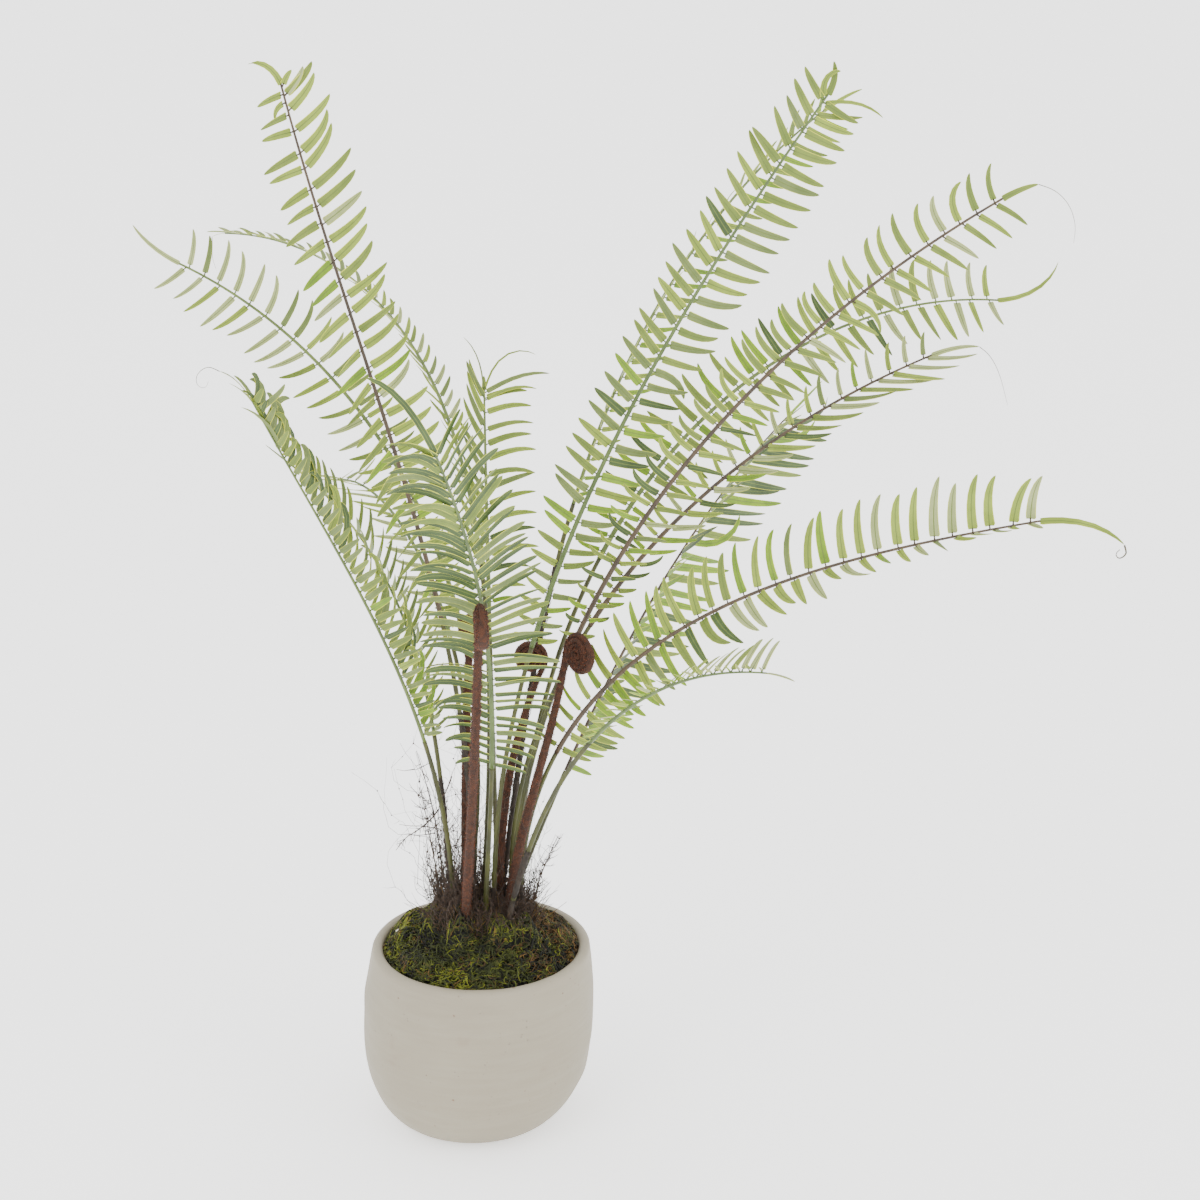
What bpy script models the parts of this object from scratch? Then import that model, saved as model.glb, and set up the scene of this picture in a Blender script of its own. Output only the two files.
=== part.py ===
"""Artificial boston fern standing in a plain, hand-thrown pot.

Units are metres and +Z is up. The origin is the centre of the pot's flat underside.
The pot holds a planting block, a mossy bed and a flat-topped root crown. Every stem,
coiled young frond and root sprig stands on that crown. Each frond is a comb: a three-sided
rachis whose flat sides carry slim leaflets, with open gaps down to the rachis between them.
"""
import math
import random
from dataclasses import dataclass

import bmesh
import bpy
from mathutils import Vector, kdtree, noise

MM = 0.001
GAP = 0.3 * MM                      # clearance between pieces that touch

# Pot: a turned shell, then leaned a little, as a hand-thrown one is.
POT_HEIGHT = 151 * MM
POT_FOOT_RADIUS = 46 * MM
POT_BELLY_RADIUS = 92.5 * MM
POT_BELLY_HEIGHT = 80 * MM
POT_SHOULDER_RADIUS = 86.5 * MM
POT_WALL = 9 * MM
POT_FLOOR = 12 * MM
POT_LEAN = 0.045                    # sideways shift per metre of height below the rim
POT_SIDES = 48
POT_INNER_HEIGHTS = (0.110, 0.080, 0.050, 0.028, 0.017)
LIP_STEPS = 6
FLOOR_CORNER = 6 * MM               # how far the floor's flat part stops short of the wall
WALL_GAP = 0.6 * MM                 # clearance of the planting block to the curved wall

# Planting block, moss bed and root crown.
BLOCK_TOP = 134 * MM
CROWN_CENTRE_X = 4 * MM
CROWN_RADIUS = 40 * MM
CROWN_TOP = 168 * MM
MOSS_EDGE_TOP = 141 * MM
MOSS_CROWN_TOP = 173 * MM
MOSS_SIDES = 40
MOSS_RINGS = 5
MOSS_LUMP = 2.5 * MM

# Stems, rachis and leaflets.
PATH_STEP = 3 * MM
STEM_SIDES = 5
ROUND_LIMB_FACE = (-90, 0)  # Heading and elevation, in degrees, that the top of a round section faces
STEM_FOOT_RADIUS = 3.0 * MM
STEM_TOP_RADIUS = 2.1 * MM
STEM_RING_SPACING = 36 * MM
RACHIS_FOOT_RADIUS = 2.2 * MM
RACHIS_TIP_RADIUS = 0.9 * MM
LEAF_PITCH = 19 * MM                # along the rachis, on each side
LEAF_BASE_WIDTH = 6 * MM
LEAF_WIDTH = 9 * MM
LEAF_THICKNESS = 0.8 * MM
LEAF_BASE_ANGLE = 68                # degrees between the rachis and a leaflet's inner half
LEAF_TIP_ANGLE = 54                 # and its outer half
LEAF_WIDEST = 0.55                  # place of the full width along a leaflet
LEAF_CLEARANCE = 6.5 * MM

# Coiled young fronds.
CROZIER_SIDES = 8
CROZIER_FOOT_RADIUS = 4.2 * MM
CROZIER_NECK_RADIUS = 3.2 * MM
COIL_PITCH = 4.6 * MM
COIL_EYE = 2.6 * MM                 # radius of the coil's innermost bend
COIL_STEPS_PER_TURN = 14
STALK_RINGS = 7

# Root sprigs.
ROOT_RADIUS = 0.9 * MM
ROOT_TIP_RADIUS = 0.5 * MM
ROOT_BRANCH_PITCH = 13 * MM
ROOT_CLEARANCE = 6 * MM


@dataclass(frozen=True)
class Limb:
    """A limb's centre line: foot and length in millimetres, angles in degrees.

    lean is measured from the vertical at the foot, at the middle control and at the tip.
    heading is the compass direction at foot and tip, 0 along +X and 90 along +Y.
    """
    foot: tuple
    length: float
    lean: tuple
    heading: tuple


@dataclass(frozen=True)
class Frond:
    """One frond: bare stem length, the way its blade faces, and its leaflets' sizes."""
    name: str
    limb: Limb
    stem: float                     # millimetres from the foot to the first leaflet
    face: tuple                     # azimuth and elevation of the way the blade faces
    fold: tuple                     # degrees the leaflets rise off the blade, at foot and tip
    leaflet: float                  # millimetres, the longest leaflet
    end: tuple                      # end leaflet: millimetres long, degrees turned upward


@dataclass(frozen=True)
class Crozier:
    """One coiled young frond: its stalk, and the coil's outer radius, depth and direction."""
    name: str
    limb: Limb
    coil_radius: float
    coil_depth: float
    curl_heading: float             # compass direction the tip curls towards


FRONDS = (
    Frond("tall_left", Limb((-9, -8), 680, (-6, 25, 13), (-156, -156)), 260,
          face=(-60, 10), fold=(20, 20), leaflet=43, end=(34, -60)),
    Frond("centre_front", Limb((4, -20), 530, (9, 38, 39), (-72, -108)), 170,
          face=(-90, 35), fold=(8, 8), leaflet=50, end=(60, 10)),
    Frond("tall_right", Limb((12, -9), 710, (-2, 29, 34), (-6, -6)), 240,
          face=(-80, 15), fold=(15, 15), leaflet=43, end=(36, -55)),
    Frond("right_high", Limb((24, -6), 720, (1, 35, 57), (-17, -14)), 250,
          face=(-75, 25), fold=(8, 25), leaflet=46, end=(30, -10)),
    Frond("right_low_long", Limb((33, -11), 610, (-5, 66, 75), (-42, -17)), 165,
          face=(-85, 45), fold=(5, 50), leaflet=46, end=(72, -60)),
    Frond("low_left_outer", Limb((-21, -8), 505, (-2, 37, 29), (-131, -132)), 170,
          face=(20, 20), fold=(55, 55), leaflet=38, end=(36, -40)),
    Frond("upper_left", Limb((-13, 14), 605, (-10, 9, 66), (179, 172)), 255,
          face=(-75, 15), fold=(12, 12), leaflet=40, end=(47, 35)),
    Frond("right_mid", Limb((26, 5), 595, (-5, 41, 67), (-1, 2)), 260,
          face=(-70, 45), fold=(12, 30), leaflet=44, end=(30, -40)),
    Frond("tall_right_behind", Limb((14, 13), 700, (8, 4, 55), (14, 16)), 345,
          face=(-20, 20), fold=(25, 25), leaflet=40, end=(34, -20)),
    Frond("right_lowest", Limb((20, -26), 450, (18, 36, 78), (-56, -49)), 235,
          face=(0, 85), fold=(10, 10), leaflet=30, end=(26, -20)),
    Frond("low_left_inner", Limb((-21, 4), 405, (5, -4, 48), (-169, -170)), 160,
          face=(-10, 30), fold=(40, 40), leaflet=36, end=(30, 0)),
    Frond("right_mid_high", Limb((25, 16), 690, (12, -2, 108), (11, 6)), 305,
          face=(-80, 45), fold=(12, 12), leaflet=44, end=(40, 60)),
    Frond("right_low_steep", Limb((21, 24), 480, (30, 35, 61), (43, 43)), 120,
          face=(-20, -10), fold=(30, 30), leaflet=46, end=(50, 0)),
    Frond("centre_back", Limb((13, 25), 425, (18, 26, 30), (96, 93)), 240,
          face=(-75, 5), fold=(15, 15), leaflet=42, end=(30, -30)),
    Frond("back_left", Limb((0, 17), 705, (14, 16, 93), (71, 158)), 280,
          face=(0, 75), fold=(20, 20), leaflet=34, end=(30, -30)),
    Frond("back_left_short", Limb((-8, 25), 445, (-6, 0, 109), (128, 124)), 230,
          face=(-60, 60), fold=(15, 15), leaflet=36, end=(30, -10)),
)

CROZIERS = (
    Crozier("front", Limb((-12, -24), 357, (24, 30, 23), (-79, -83)), 17, 10, -82),
    Crozier("behind_left", Limb((-12, 3), 250, (1, 0, 5), (23, 23)), 10, 9, -112),
    Crozier("centre", Limb((13, 2), 222, (2, 4, 25), (6, 6)), 14, 8, 178),
    Crozier("right", Limb((22, -16), 253, (4, 27, 9), (-33, -33)), 17, 9, -42),
)

ROOT_SPRIGS = (
    ("left_outer", Limb((-31, -3), 128, (2, 4, 12), (175, 185))),
    ("left_inner", Limb((-28, 13), 150, (0, 8, 16), (160, 185))),
    ("right", Limb((38, 12), 80, (8, 18, 26), (20, -10))),
    ("back", Limb((2, 34), 80, (4, 12, 20), (100, 110))),
)

COLOURS = {
    "pot": (0.46, 0.42, 0.36),
    "block": (0.05, 0.035, 0.02),
    "moss": (0.06, 0.07, 0.015),
    "roots": (0.035, 0.02, 0.012),
    "stem": (0.17, 0.17, 0.06),
    "frond": (0.24, 0.35, 0.12),
    "crozier": (0.13, 0.035, 0.015),
}


# Scene helpers

def clear_scene():
    """Remove every object of the start-up scene."""
    for item in list(bpy.data.objects):
        bpy.data.objects.remove(item, do_unlink=True)


def make_material(name, colour, roughness):
    """Return a Principled material of one plain colour."""
    material = bpy.data.materials.new(name)
    material.use_nodes = True
    shader = material.node_tree.nodes["Principled BSDF"]
    shader.inputs["Base Color"].default_value = (*colour, 1.0)
    shader.inputs["Roughness"].default_value = roughness
    shader.inputs["Metallic"].default_value = 0.0
    return material


def finish_object(name, bm, kind, parent, location, smooth=False):
    """Turn a bmesh into a named object with its own material, faces pointing out."""
    bmesh.ops.recalc_face_normals(bm, faces=bm.faces)
    if bm.calc_volume(signed=True) < 0:
        bmesh.ops.reverse_faces(bm, faces=bm.faces)
    mesh = bpy.data.meshes.new(name)
    bm.to_mesh(mesh)
    bm.free()
    if smooth:
        mesh.shade_smooth()
        mesh.set_sharp_from_angle(angle=math.radians(40))
    mesh.materials.append(make_material(name, COLOURS[kind], 0.8))
    item = bpy.data.objects.new(name, mesh)
    item.location = location
    item.parent = parent
    bpy.context.collection.objects.link(item)
    return item


def add_empty(name):
    """Add the empty that carries the whole plant, at the pot's foot."""
    empty = bpy.data.objects.new(name, None)
    bpy.context.collection.objects.link(empty)
    return empty


# Curves and rings

def facing(azimuth, elevation):
    """Unit vector of a compass azimuth and an elevation in degrees."""
    azimuth, elevation = math.radians(azimuth), math.radians(elevation)
    level = math.cos(elevation)
    return Vector((level * math.cos(azimuth), level * math.sin(azimuth), math.sin(elevation)))


class Path:
    """The centre line of a limb as evenly spaced points and tangents."""

    def __init__(self, limb):
        count = round(limb.length * MM / PATH_STEP)
        self.step = limb.length * MM / count
        point = Vector((limb.foot[0] * MM, limb.foot[1] * MM, CROWN_TOP + GAP))
        self.points = [point]
        for index in range(count):
            share = (index + 0.5) / count
            self.points.append(self.points[-1] + self.direction(limb, share) * self.step)
        self.tangents = [self.direction(limb, index / count) for index in range(count + 1)]

    @staticmethod
    def direction(limb, share):
        """Unit direction of growth at a share of the length."""
        foot, middle, tip = limb.lean
        lean = foot * (1 - share) ** 2 + 2 * middle * share * (1 - share) + tip * share ** 2
        heading = limb.heading[0] + (limb.heading[1] - limb.heading[0]) * share
        return facing(heading, 90 - lean)

    @property
    def length(self):
        """Length from the foot to the tip."""
        return self.step * (len(self.points) - 1)

    def at(self, distance):
        """Point and unit tangent at a distance from the foot."""
        place = min(max(distance / self.step, 0.0), len(self.points) - 1.001)
        index = int(place)
        share = place - index
        point = self.points[index].lerp(self.points[index + 1], share)
        tangent = self.tangents[index].lerp(self.tangents[index + 1], share)
        return point, tangent.normalized()


def cross_axes(tangent, face):
    """Side and up axes of a section square to the tangent, with up nearest to face."""
    side = tangent.cross(face).normalized()
    return side, side.cross(tangent).normalized()


def add_ring(bm, centre, side, up, half_side, half_up, count):
    """Add an oval ring of points round a centre, the first one at its top."""
    ring = []
    for index in range(count):
        angle = math.pi / 2 + 2 * math.pi * index / count
        offset = side * (half_side * math.cos(angle)) + up * (half_up * math.sin(angle))
        ring.append(bm.verts.new(centre + offset))
    return ring


def bridge(bm, first, second):
    """Join two rings of equal count with four-sided faces."""
    count = len(first)
    for index in range(count):
        after = (index + 1) % count
        bm.faces.new((first[index], first[after], second[after], second[index]))


def close_to_point(bm, ring, point):
    """Close a ring to a point with triangles."""
    tip = bm.verts.new(point)
    for index, vert in enumerate(ring):
        bm.faces.new((vert, ring[(index + 1) % len(ring)], tip))


# Pot and its filling

def pot_outer_radius(height):
    """Outer radius of the pot's wall at a height: an oval bowl, then a gentle shoulder."""
    if height < POT_BELLY_HEIGHT:
        drop = 1 - height / POT_BELLY_HEIGHT
        swell = (1 - drop ** 2.1) ** (1 / 2.1)
        return POT_FOOT_RADIUS + (POT_BELLY_RADIUS - POT_FOOT_RADIUS) * swell
    rise = (height - POT_BELLY_HEIGHT) / (POT_HEIGHT - POT_BELLY_HEIGHT)
    return POT_BELLY_RADIUS - (POT_BELLY_RADIUS - POT_SHOULDER_RADIUS) * rise ** 2


def pot_inner_radius(height):
    """Inner radius of the pot's wall, one wall inside the outer radius."""
    return pot_outer_radius(height) - POT_WALL


def lean_point(radius, angle, height):
    """Point on a turned surface after the pot's sideways lean."""
    shift = POT_LEAN * (height - POT_HEIGHT)
    return Vector((radius * math.cos(angle) + shift, radius * math.sin(angle), height))


def turn_profile(bm, profile):
    """Turn (radius, height) points round Z and close both ends with flat faces."""
    rings = []
    for radius, height in profile:
        angles = [2 * math.pi * index / POT_SIDES for index in range(POT_SIDES)]
        rings.append([bm.verts.new(lean_point(radius, angle, height)) for angle in angles])
    for first, second in zip(rings, rings[1:]):
        bridge(bm, first, second)
    bm.faces.new(rings[0])
    bm.faces.new(rings[-1])


def inner_profile():
    """(radius, height) points down the pot's inner wall, from below the lip to the floor's edge."""
    return [(pot_inner_radius(height), height) for height in POT_INNER_HEIGHTS]


def build_pot(parent):
    """The pot: one turned shell with a flat foot, a rounded lip and a thick floor."""
    lip_radius = POT_WALL / 2
    lip_height = POT_HEIGHT - lip_radius
    profile = []
    for share in (0.0, 0.06, 0.18, 0.34, 0.52, 0.75, 1.0):
        height = POT_BELLY_HEIGHT * share
        profile.append((pot_outer_radius(height), height))
    for share in (0.3, 0.6, 0.85):
        height = POT_BELLY_HEIGHT + (lip_height - POT_BELLY_HEIGHT) * share
        profile.append((pot_outer_radius(height), height))
    lip_centre = pot_outer_radius(lip_height) - lip_radius
    for step in range(LIP_STEPS + 1):
        angle = math.pi * step / LIP_STEPS
        profile.append((lip_centre + lip_radius * math.cos(angle), lip_height + lip_radius * math.sin(angle)))
    profile.extend(inner_profile())
    profile.append((pot_inner_radius(POT_FLOOR) - FLOOR_CORNER, POT_FLOOR))
    bm = bmesh.new()
    turn_profile(bm, profile)
    return finish_object("pot", bm, "pot", parent, (0, 0, 0), smooth=True)


def build_block(parent):
    """The planting block that fills the pot below the moss, clear of the wall all round."""
    profile = [(pot_inner_radius(BLOCK_TOP) - WALL_GAP, BLOCK_TOP)]
    profile.extend((radius - WALL_GAP, height) for radius, height in inner_profile() if height < BLOCK_TOP)
    profile.append((pot_inner_radius(POT_FLOOR) - FLOOR_CORNER - WALL_GAP, POT_FLOOR + GAP))
    bm = bmesh.new()
    turn_profile(bm, profile)
    return finish_object("planting_block", bm, "block", parent, (0, 0, 0), smooth=True)


def build_crown(parent):
    """The root crown: a low flat-topped drum that carries every stem."""
    profile = (
        (CROWN_RADIUS, BLOCK_TOP + GAP),
        (CROWN_RADIUS, CROWN_TOP - 5 * MM),
        (CROWN_RADIUS - 4 * MM, CROWN_TOP),
    )
    bm = bmesh.new()
    rings = []
    for radius, height in profile:
        centre = Vector((0, 0, height - BLOCK_TOP))
        rings.append(add_ring(bm, centre, Vector((1, 0, 0)), Vector((0, 1, 0)), radius, radius, 32))
    for first, second in zip(rings, rings[1:]):
        bridge(bm, first, second)
    bm.faces.new(rings[0])
    bm.faces.new(rings[-1])
    return finish_object("root_crown", bm, "roots", parent, (CROWN_CENTRE_X, 0, BLOCK_TOP))


def build_moss(parent):
    """The moss bed: a lumpy ring that rises from the pot's wall to the root crown."""
    bm = bmesh.new()
    columns = []
    base = BLOCK_TOP + GAP
    for index in range(MOSS_SIDES):
        angle = 2 * math.pi * index / MOSS_SIDES
        spoke = Vector((math.cos(angle), math.sin(angle), 0))
        inner = Vector((CROWN_CENTRE_X, 0, base)) + spoke * (CROWN_RADIUS + WALL_GAP)
        outer = lean_point(pot_inner_radius(MOSS_EDGE_TOP) - 2 * WALL_GAP, angle, base)
        column = [inner, outer]
        for ring in range(MOSS_RINGS + 1):
            share = ring / MOSS_RINGS
            point = outer.lerp(inner, share)
            lump = noise.noise(Vector((point.x, point.y, 0)) * 60) * MOSS_LUMP * math.sin(math.pi * share)
            rise = MOSS_EDGE_TOP + (MOSS_CROWN_TOP - MOSS_EDGE_TOP) * math.sin(share * math.pi / 2)
            column.append(Vector((point.x, point.y, rise + lump)))
        columns.append([bm.verts.new(point) for point in column])
    for index, column in enumerate(columns):
        following = columns[(index + 1) % MOSS_SIDES]
        for row in range(len(column)):
            after = (row + 1) % len(column)
            bm.faces.new((column[row], column[after], following[after], following[row]))
    return finish_object("moss_bed", bm, "moss", parent, (0, 0, 0), smooth=True)


# Stems and fronds

def build_stem(frond, path, parent):
    """The bare stem of a frond: a slim tapered limb, level at its foot."""
    length = frond.stem * MM
    count = max(3, round(length / STEM_RING_SPACING))
    foot = path.at(0)[0]
    bm = bmesh.new()
    rings = []
    for index in range(count + 1):
        share = index / count
        point, tangent = path.at(length * share)
        if index == 0:
            tangent = Vector((0, 0, 1))
        side, up = cross_axes(tangent, facing(*ROUND_LIMB_FACE))
        radius = STEM_FOOT_RADIUS + (STEM_TOP_RADIUS - STEM_FOOT_RADIUS) * share
        rings.append(add_ring(bm, point - foot, side, up, radius, radius, STEM_SIDES))
    for first, second in zip(rings, rings[1:]):
        bridge(bm, first, second)
    bm.faces.new(rings[0])
    bm.faces.new(rings[-1])
    return finish_object("stem_" + frond.name, bm, "stem", parent, foot, smooth=True)


def leaflet_share(place):
    """Leaflet length along the blade, as a share of the longest: short at both ends."""
    return min(1.0, 0.5 + 2.0 * place, 0.6 + 2.0 * (1 - place))


@dataclass
class Leaflet:
    """Where one leaflet lies: its root, widest place, tip, and the way its width runs."""
    root: Vector
    widest: Vector
    tip: Vector
    across: Vector
    thick: Vector

    def samples(self):
        """Points spread over the leaflet, for testing its clearance."""
        for step in range(1, 11):
            share = step / 10
            if share < LEAF_WIDEST:
                centre = self.root.lerp(self.widest, share / LEAF_WIDEST)
            else:
                centre = self.widest.lerp(self.tip, (share - LEAF_WIDEST) / (1 - LEAF_WIDEST))
            for offset in (-0.5, 0.0, 0.5):
                yield centre + self.across * (LEAF_WIDTH * offset)


def place_leaflet(frond, path, distance, place, sign):
    """Work out a leaflet at a distance along the path, on one side of the rachis."""
    root, tangent = path.at(distance)
    side, up = cross_axes(tangent, facing(*frond.face))
    fold = math.radians(frond.fold[0] + (frond.fold[1] - frond.fold[0]) * place)
    outward = side * (sign * math.cos(fold)) + up * math.sin(fold)
    length = frond.leaflet * MM * leaflet_share(place)

    def heading(angle):
        return tangent * math.cos(math.radians(angle)) + outward * math.sin(math.radians(angle))

    widest = root + heading(LEAF_BASE_ANGLE) * (length * LEAF_WIDEST)
    tip = widest + heading(LEAF_TIP_ANGLE) * (length * (1 - LEAF_WIDEST))
    along = (tip - root).normalized()
    across = (tangent - along * tangent.dot(along)).normalized()
    thick = up * math.cos(fold) - side * (sign * math.sin(fold))
    return Leaflet(root, widest, tip, across, thick)


def add_leaflet(bm, base, leaflet, origin):
    """Grow a leaflet from four points of the rachis: lower top, upper top, upper and lower foot."""
    half_width = leaflet.across * (LEAF_WIDTH / 2)
    half_thick = leaflet.thick * (LEAF_THICKNESS / 2)
    corners = ((-1, 1), (1, 1), (1, -1), (-1, -1))
    middle = []
    for along, upward in corners:
        middle.append(bm.verts.new(leaflet.widest - origin + half_width * along + half_thick * upward))
    bridge(bm, base, middle)
    close_to_point(bm, middle, leaflet.tip - origin)


def add_end_leaflet(bm, ring, point, tangent, frond, origin):
    """Close the rachis with its end leaflet, a slim blade that turns up or down."""
    length, turn = frond.end[0] * MM, math.radians(frond.end[1])
    side, up = cross_axes(tangent, facing(*frond.face))
    rise = (Vector((0, 0, 1)) - tangent * tangent.z).normalized()
    onward = tangent * math.cos(turn / 2) + rise * math.sin(turn / 2)
    outer = tangent * math.cos(turn) + rise * math.sin(turn)
    centre = point + onward * (length * 0.45)
    half = LEAF_THICKNESS * 0.6
    offsets = (up * half, side * -3 * MM - up * half, side * 3 * MM - up * half)
    middle = [bm.verts.new(centre + offset - origin) for offset in offsets]
    bridge(bm, ring, middle)
    close_to_point(bm, middle, centre + outer * (length * 0.55) - origin)


def build_frond(frond, path, obstacles, parent):
    """The comb of one frond. Leaflets that would come near another limb are left off."""
    start = frond.stem * MM + GAP
    blade = path.length - start
    count = round(blade / LEAF_PITCH)
    pitch = blade / count
    origin = path.at(start)[0]
    placed = []

    def rachis_ring(bm, distance):
        share = (distance - start) / blade
        point, tangent = path.at(distance)
        side, up = cross_axes(tangent, facing(*frond.face))
        radius = RACHIS_FOOT_RADIUS + (RACHIS_TIP_RADIUS - RACHIS_FOOT_RADIUS) * share
        return add_ring(bm, point - origin, side, up, radius, radius, 3)

    bm = bmesh.new()
    ring = rachis_ring(bm, start)
    bm.faces.new(ring)
    for index in range(count):
        place = (index + 0.5) / count
        centre = start + blade * place
        lower = rachis_ring(bm, centre - LEAF_BASE_WIDTH / 2)
        upper = rachis_ring(bm, centre + LEAF_BASE_WIDTH / 2)
        bridge(bm, ring, lower)
        bm.faces.new((lower[1], lower[2], upper[2], upper[1]))
        for sign, foot in ((-1, 1), (1, 2)):
            leaflet = place_leaflet(frond, path, centre, place, sign)
            if clear_of(obstacles, leaflet):
                base = (lower[0], upper[0], upper[foot], lower[foot])
                add_leaflet(bm, base, leaflet, origin)
                placed.extend(leaflet.samples())
            else:
                bm.faces.new((lower[0], upper[0], upper[foot], lower[foot]))
        ring = upper
    point, tangent = path.at(path.length)
    last = rachis_ring(bm, path.length)
    bridge(bm, ring, last)
    add_end_leaflet(bm, last, point, tangent, frond, origin)
    finish_object("frond_" + frond.name, bm, "frond", parent, origin)
    return placed


def clear_of(obstacles, leaflet):
    """True if no obstacle point lies near the leaflet."""
    return all(obstacles.find(point)[2] > LEAF_CLEARANCE for point in leaflet.samples())


def point_tree(points):
    """Return a search tree over the given points."""
    tree = kdtree.KDTree(len(points))
    for index, point in enumerate(points):
        tree.insert(point, index)
    tree.balance()
    return tree


# Croziers and root sprigs

def crozier_sections(crozier):
    """List (centre, side, up, half_side, half_up) along the stalk and round the coil."""
    path = Path(crozier.limb)
    sections = []
    radius = crozier.coil_radius * MM - COIL_PITCH / 2
    point, tangent = path.at(path.length)
    curl = facing(crozier.curl_heading, 0)
    curl = (curl - tangent * curl.dot(tangent)).normalized()
    axle = tangent.cross(curl).normalized()
    for index in range(STALK_RINGS):
        share = index / STALK_RINGS
        place, along = path.at(path.length * share)
        if index == 0:
            along = Vector((0, 0, 1))
        side = (axle - along * axle.dot(along)).normalized()
        width = CROZIER_FOOT_RADIUS + (CROZIER_NECK_RADIUS - CROZIER_FOOT_RADIUS) * share
        thick = CROZIER_FOOT_RADIUS + (COIL_PITCH / 2 - GAP - CROZIER_FOOT_RADIUS) * share
        sections.append((place, side, along.cross(side), width, thick))
    centre = point + curl * radius
    turns = (radius - COIL_EYE) / COIL_PITCH
    steps = round(turns * COIL_STEPS_PER_TURN)
    for step in range(steps + 1):
        share = step / steps
        angle = 2 * math.pi * turns * share
        reach = radius - COIL_PITCH * angle / (2 * math.pi)
        outward = curl * -math.cos(angle) + tangent * math.sin(angle)
        widen = min(1.0, 0.45 + 3 * share)
        depth = crozier.coil_depth * MM / 2 * widen * (1 - 0.35 * share)
        thick = (COIL_PITCH / 2 - GAP) * (1 - 0.1 * share)
        sections.append((centre + outward * reach, axle, outward, max(depth, CROZIER_NECK_RADIUS), thick))
    return sections


def build_crozier(crozier, parent):
    """A young frond: a stout furry stalk whose tip is rolled into a flat coil."""
    sections = crozier_sections(crozier)
    origin = sections[0][0]
    bm = bmesh.new()
    rings = []
    for centre, side, up, half_side, half_up in sections:
        rings.append(add_ring(bm, centre - origin, side, up, half_side, half_up, CROZIER_SIDES))
    for first, second in zip(rings, rings[1:]):
        bridge(bm, first, second)
    bm.faces.new(rings[0])
    bm.faces.new(rings[-1])
    item = finish_object("crozier_" + crozier.name, bm, "crozier", parent, origin, smooth=True)
    return [vert.co + origin for vert in item.data.vertices]


def build_root_sprig(name, limb, obstacles, parent, rng):
    """A wiry root sprig: a three-sided fibre with thin side branches that keep off the stems."""
    path = Path(limb)
    origin = path.at(0)[0]
    count = round(path.length / ROOT_BRANCH_PITCH)
    bm = bmesh.new()

    def fibre_ring(distance):
        share = distance / path.length
        point, tangent = path.at(distance)
        if distance == 0:
            tangent = Vector((0, 0, 1))
        side, up = cross_axes(tangent, facing(*ROUND_LIMB_FACE))
        radius = ROOT_RADIUS + (ROOT_TIP_RADIUS - ROOT_RADIUS) * share
        return add_ring(bm, point - origin, side, up, radius, radius, 3)

    ring = fibre_ring(0)
    bm.faces.new(ring)
    for index in range(count):
        centre = path.length * (index + 0.5) / count
        lower = fibre_ring(centre - 1 * MM)
        upper = fibre_ring(centre + 1 * MM)
        bridge(bm, ring, lower)
        branch = index % 3
        for edge in range(3):
            quad = (lower[edge], lower[(edge + 1) % 3], upper[(edge + 1) % 3], upper[edge])
            point, tangent = path.at(centre)
            middle = (quad[0].co + quad[1].co + quad[2].co + quad[3].co) / 4
            outward = (middle - (point - origin)).normalized()
            slant = (outward + tangent * rng.uniform(0.4, 1.2)).normalized()
            tip = middle + slant * (rng.uniform(8, 15) * MM)
            if edge == branch and obstacles.find(tip + origin)[2] > ROOT_CLEARANCE:
                close_to_point(bm, quad, tip)
            else:
                bm.faces.new(quad)
        ring = upper
    close_to_point(bm, ring, path.at(path.length)[0] - origin)
    return finish_object("root_sprig_" + name, bm, "roots", parent, origin)


def main():
    """Build the pot, its filling, and the plant."""
    clear_scene()
    rng = random.Random(7)
    plant = add_empty("potted_fern")
    build_pot(plant)
    build_block(plant)
    build_crown(plant)
    build_moss(plant)

    solids = []
    for crozier in CROZIERS:
        solids.extend(build_crozier(crozier, plant))

    paths = {frond.name: Path(frond.limb) for frond in FRONDS}
    limbs = point_tree(solids + [point for path in paths.values() for point in path.points])
    for name, limb in ROOT_SPRIGS:
        build_root_sprig(name, limb, limbs, plant, rng)
    for frond in FRONDS:
        build_stem(frond, paths[frond.name], plant)
    leaves = []
    for frond in FRONDS:
        others = [point for name, path in paths.items() if name != frond.name for point in path.points]
        obstacles = point_tree(solids + others + leaves)
        leaves.extend(build_frond(frond, paths[frond.name], obstacles, plant))


main()
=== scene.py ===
"""Dresses the potted artificial fern: leaflets on their ribs, stems, croziers, moss, roots and pot.

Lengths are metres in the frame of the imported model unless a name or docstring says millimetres.
"""
import logging
import math
from dataclasses import dataclass
from enum import Enum
from functools import cache, partialmethod
from typing import NamedTuple

import bmesh
import bpy
import numpy as np
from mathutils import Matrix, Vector, noise


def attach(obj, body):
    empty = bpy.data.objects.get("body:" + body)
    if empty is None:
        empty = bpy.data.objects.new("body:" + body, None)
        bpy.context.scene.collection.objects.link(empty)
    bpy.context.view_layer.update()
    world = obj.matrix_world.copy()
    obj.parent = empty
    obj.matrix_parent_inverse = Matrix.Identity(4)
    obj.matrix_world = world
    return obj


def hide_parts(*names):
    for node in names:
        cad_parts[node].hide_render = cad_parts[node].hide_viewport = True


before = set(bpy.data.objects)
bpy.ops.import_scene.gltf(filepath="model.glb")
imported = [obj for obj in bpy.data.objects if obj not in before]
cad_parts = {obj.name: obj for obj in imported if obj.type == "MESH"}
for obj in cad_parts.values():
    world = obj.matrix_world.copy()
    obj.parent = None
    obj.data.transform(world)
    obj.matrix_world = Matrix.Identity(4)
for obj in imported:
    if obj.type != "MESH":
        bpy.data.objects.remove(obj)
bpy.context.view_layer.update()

MM = 0.001
LOG = logging.getLogger("potted_fern")
Array = np.ndarray
Colour = tuple[float, float, float]

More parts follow.
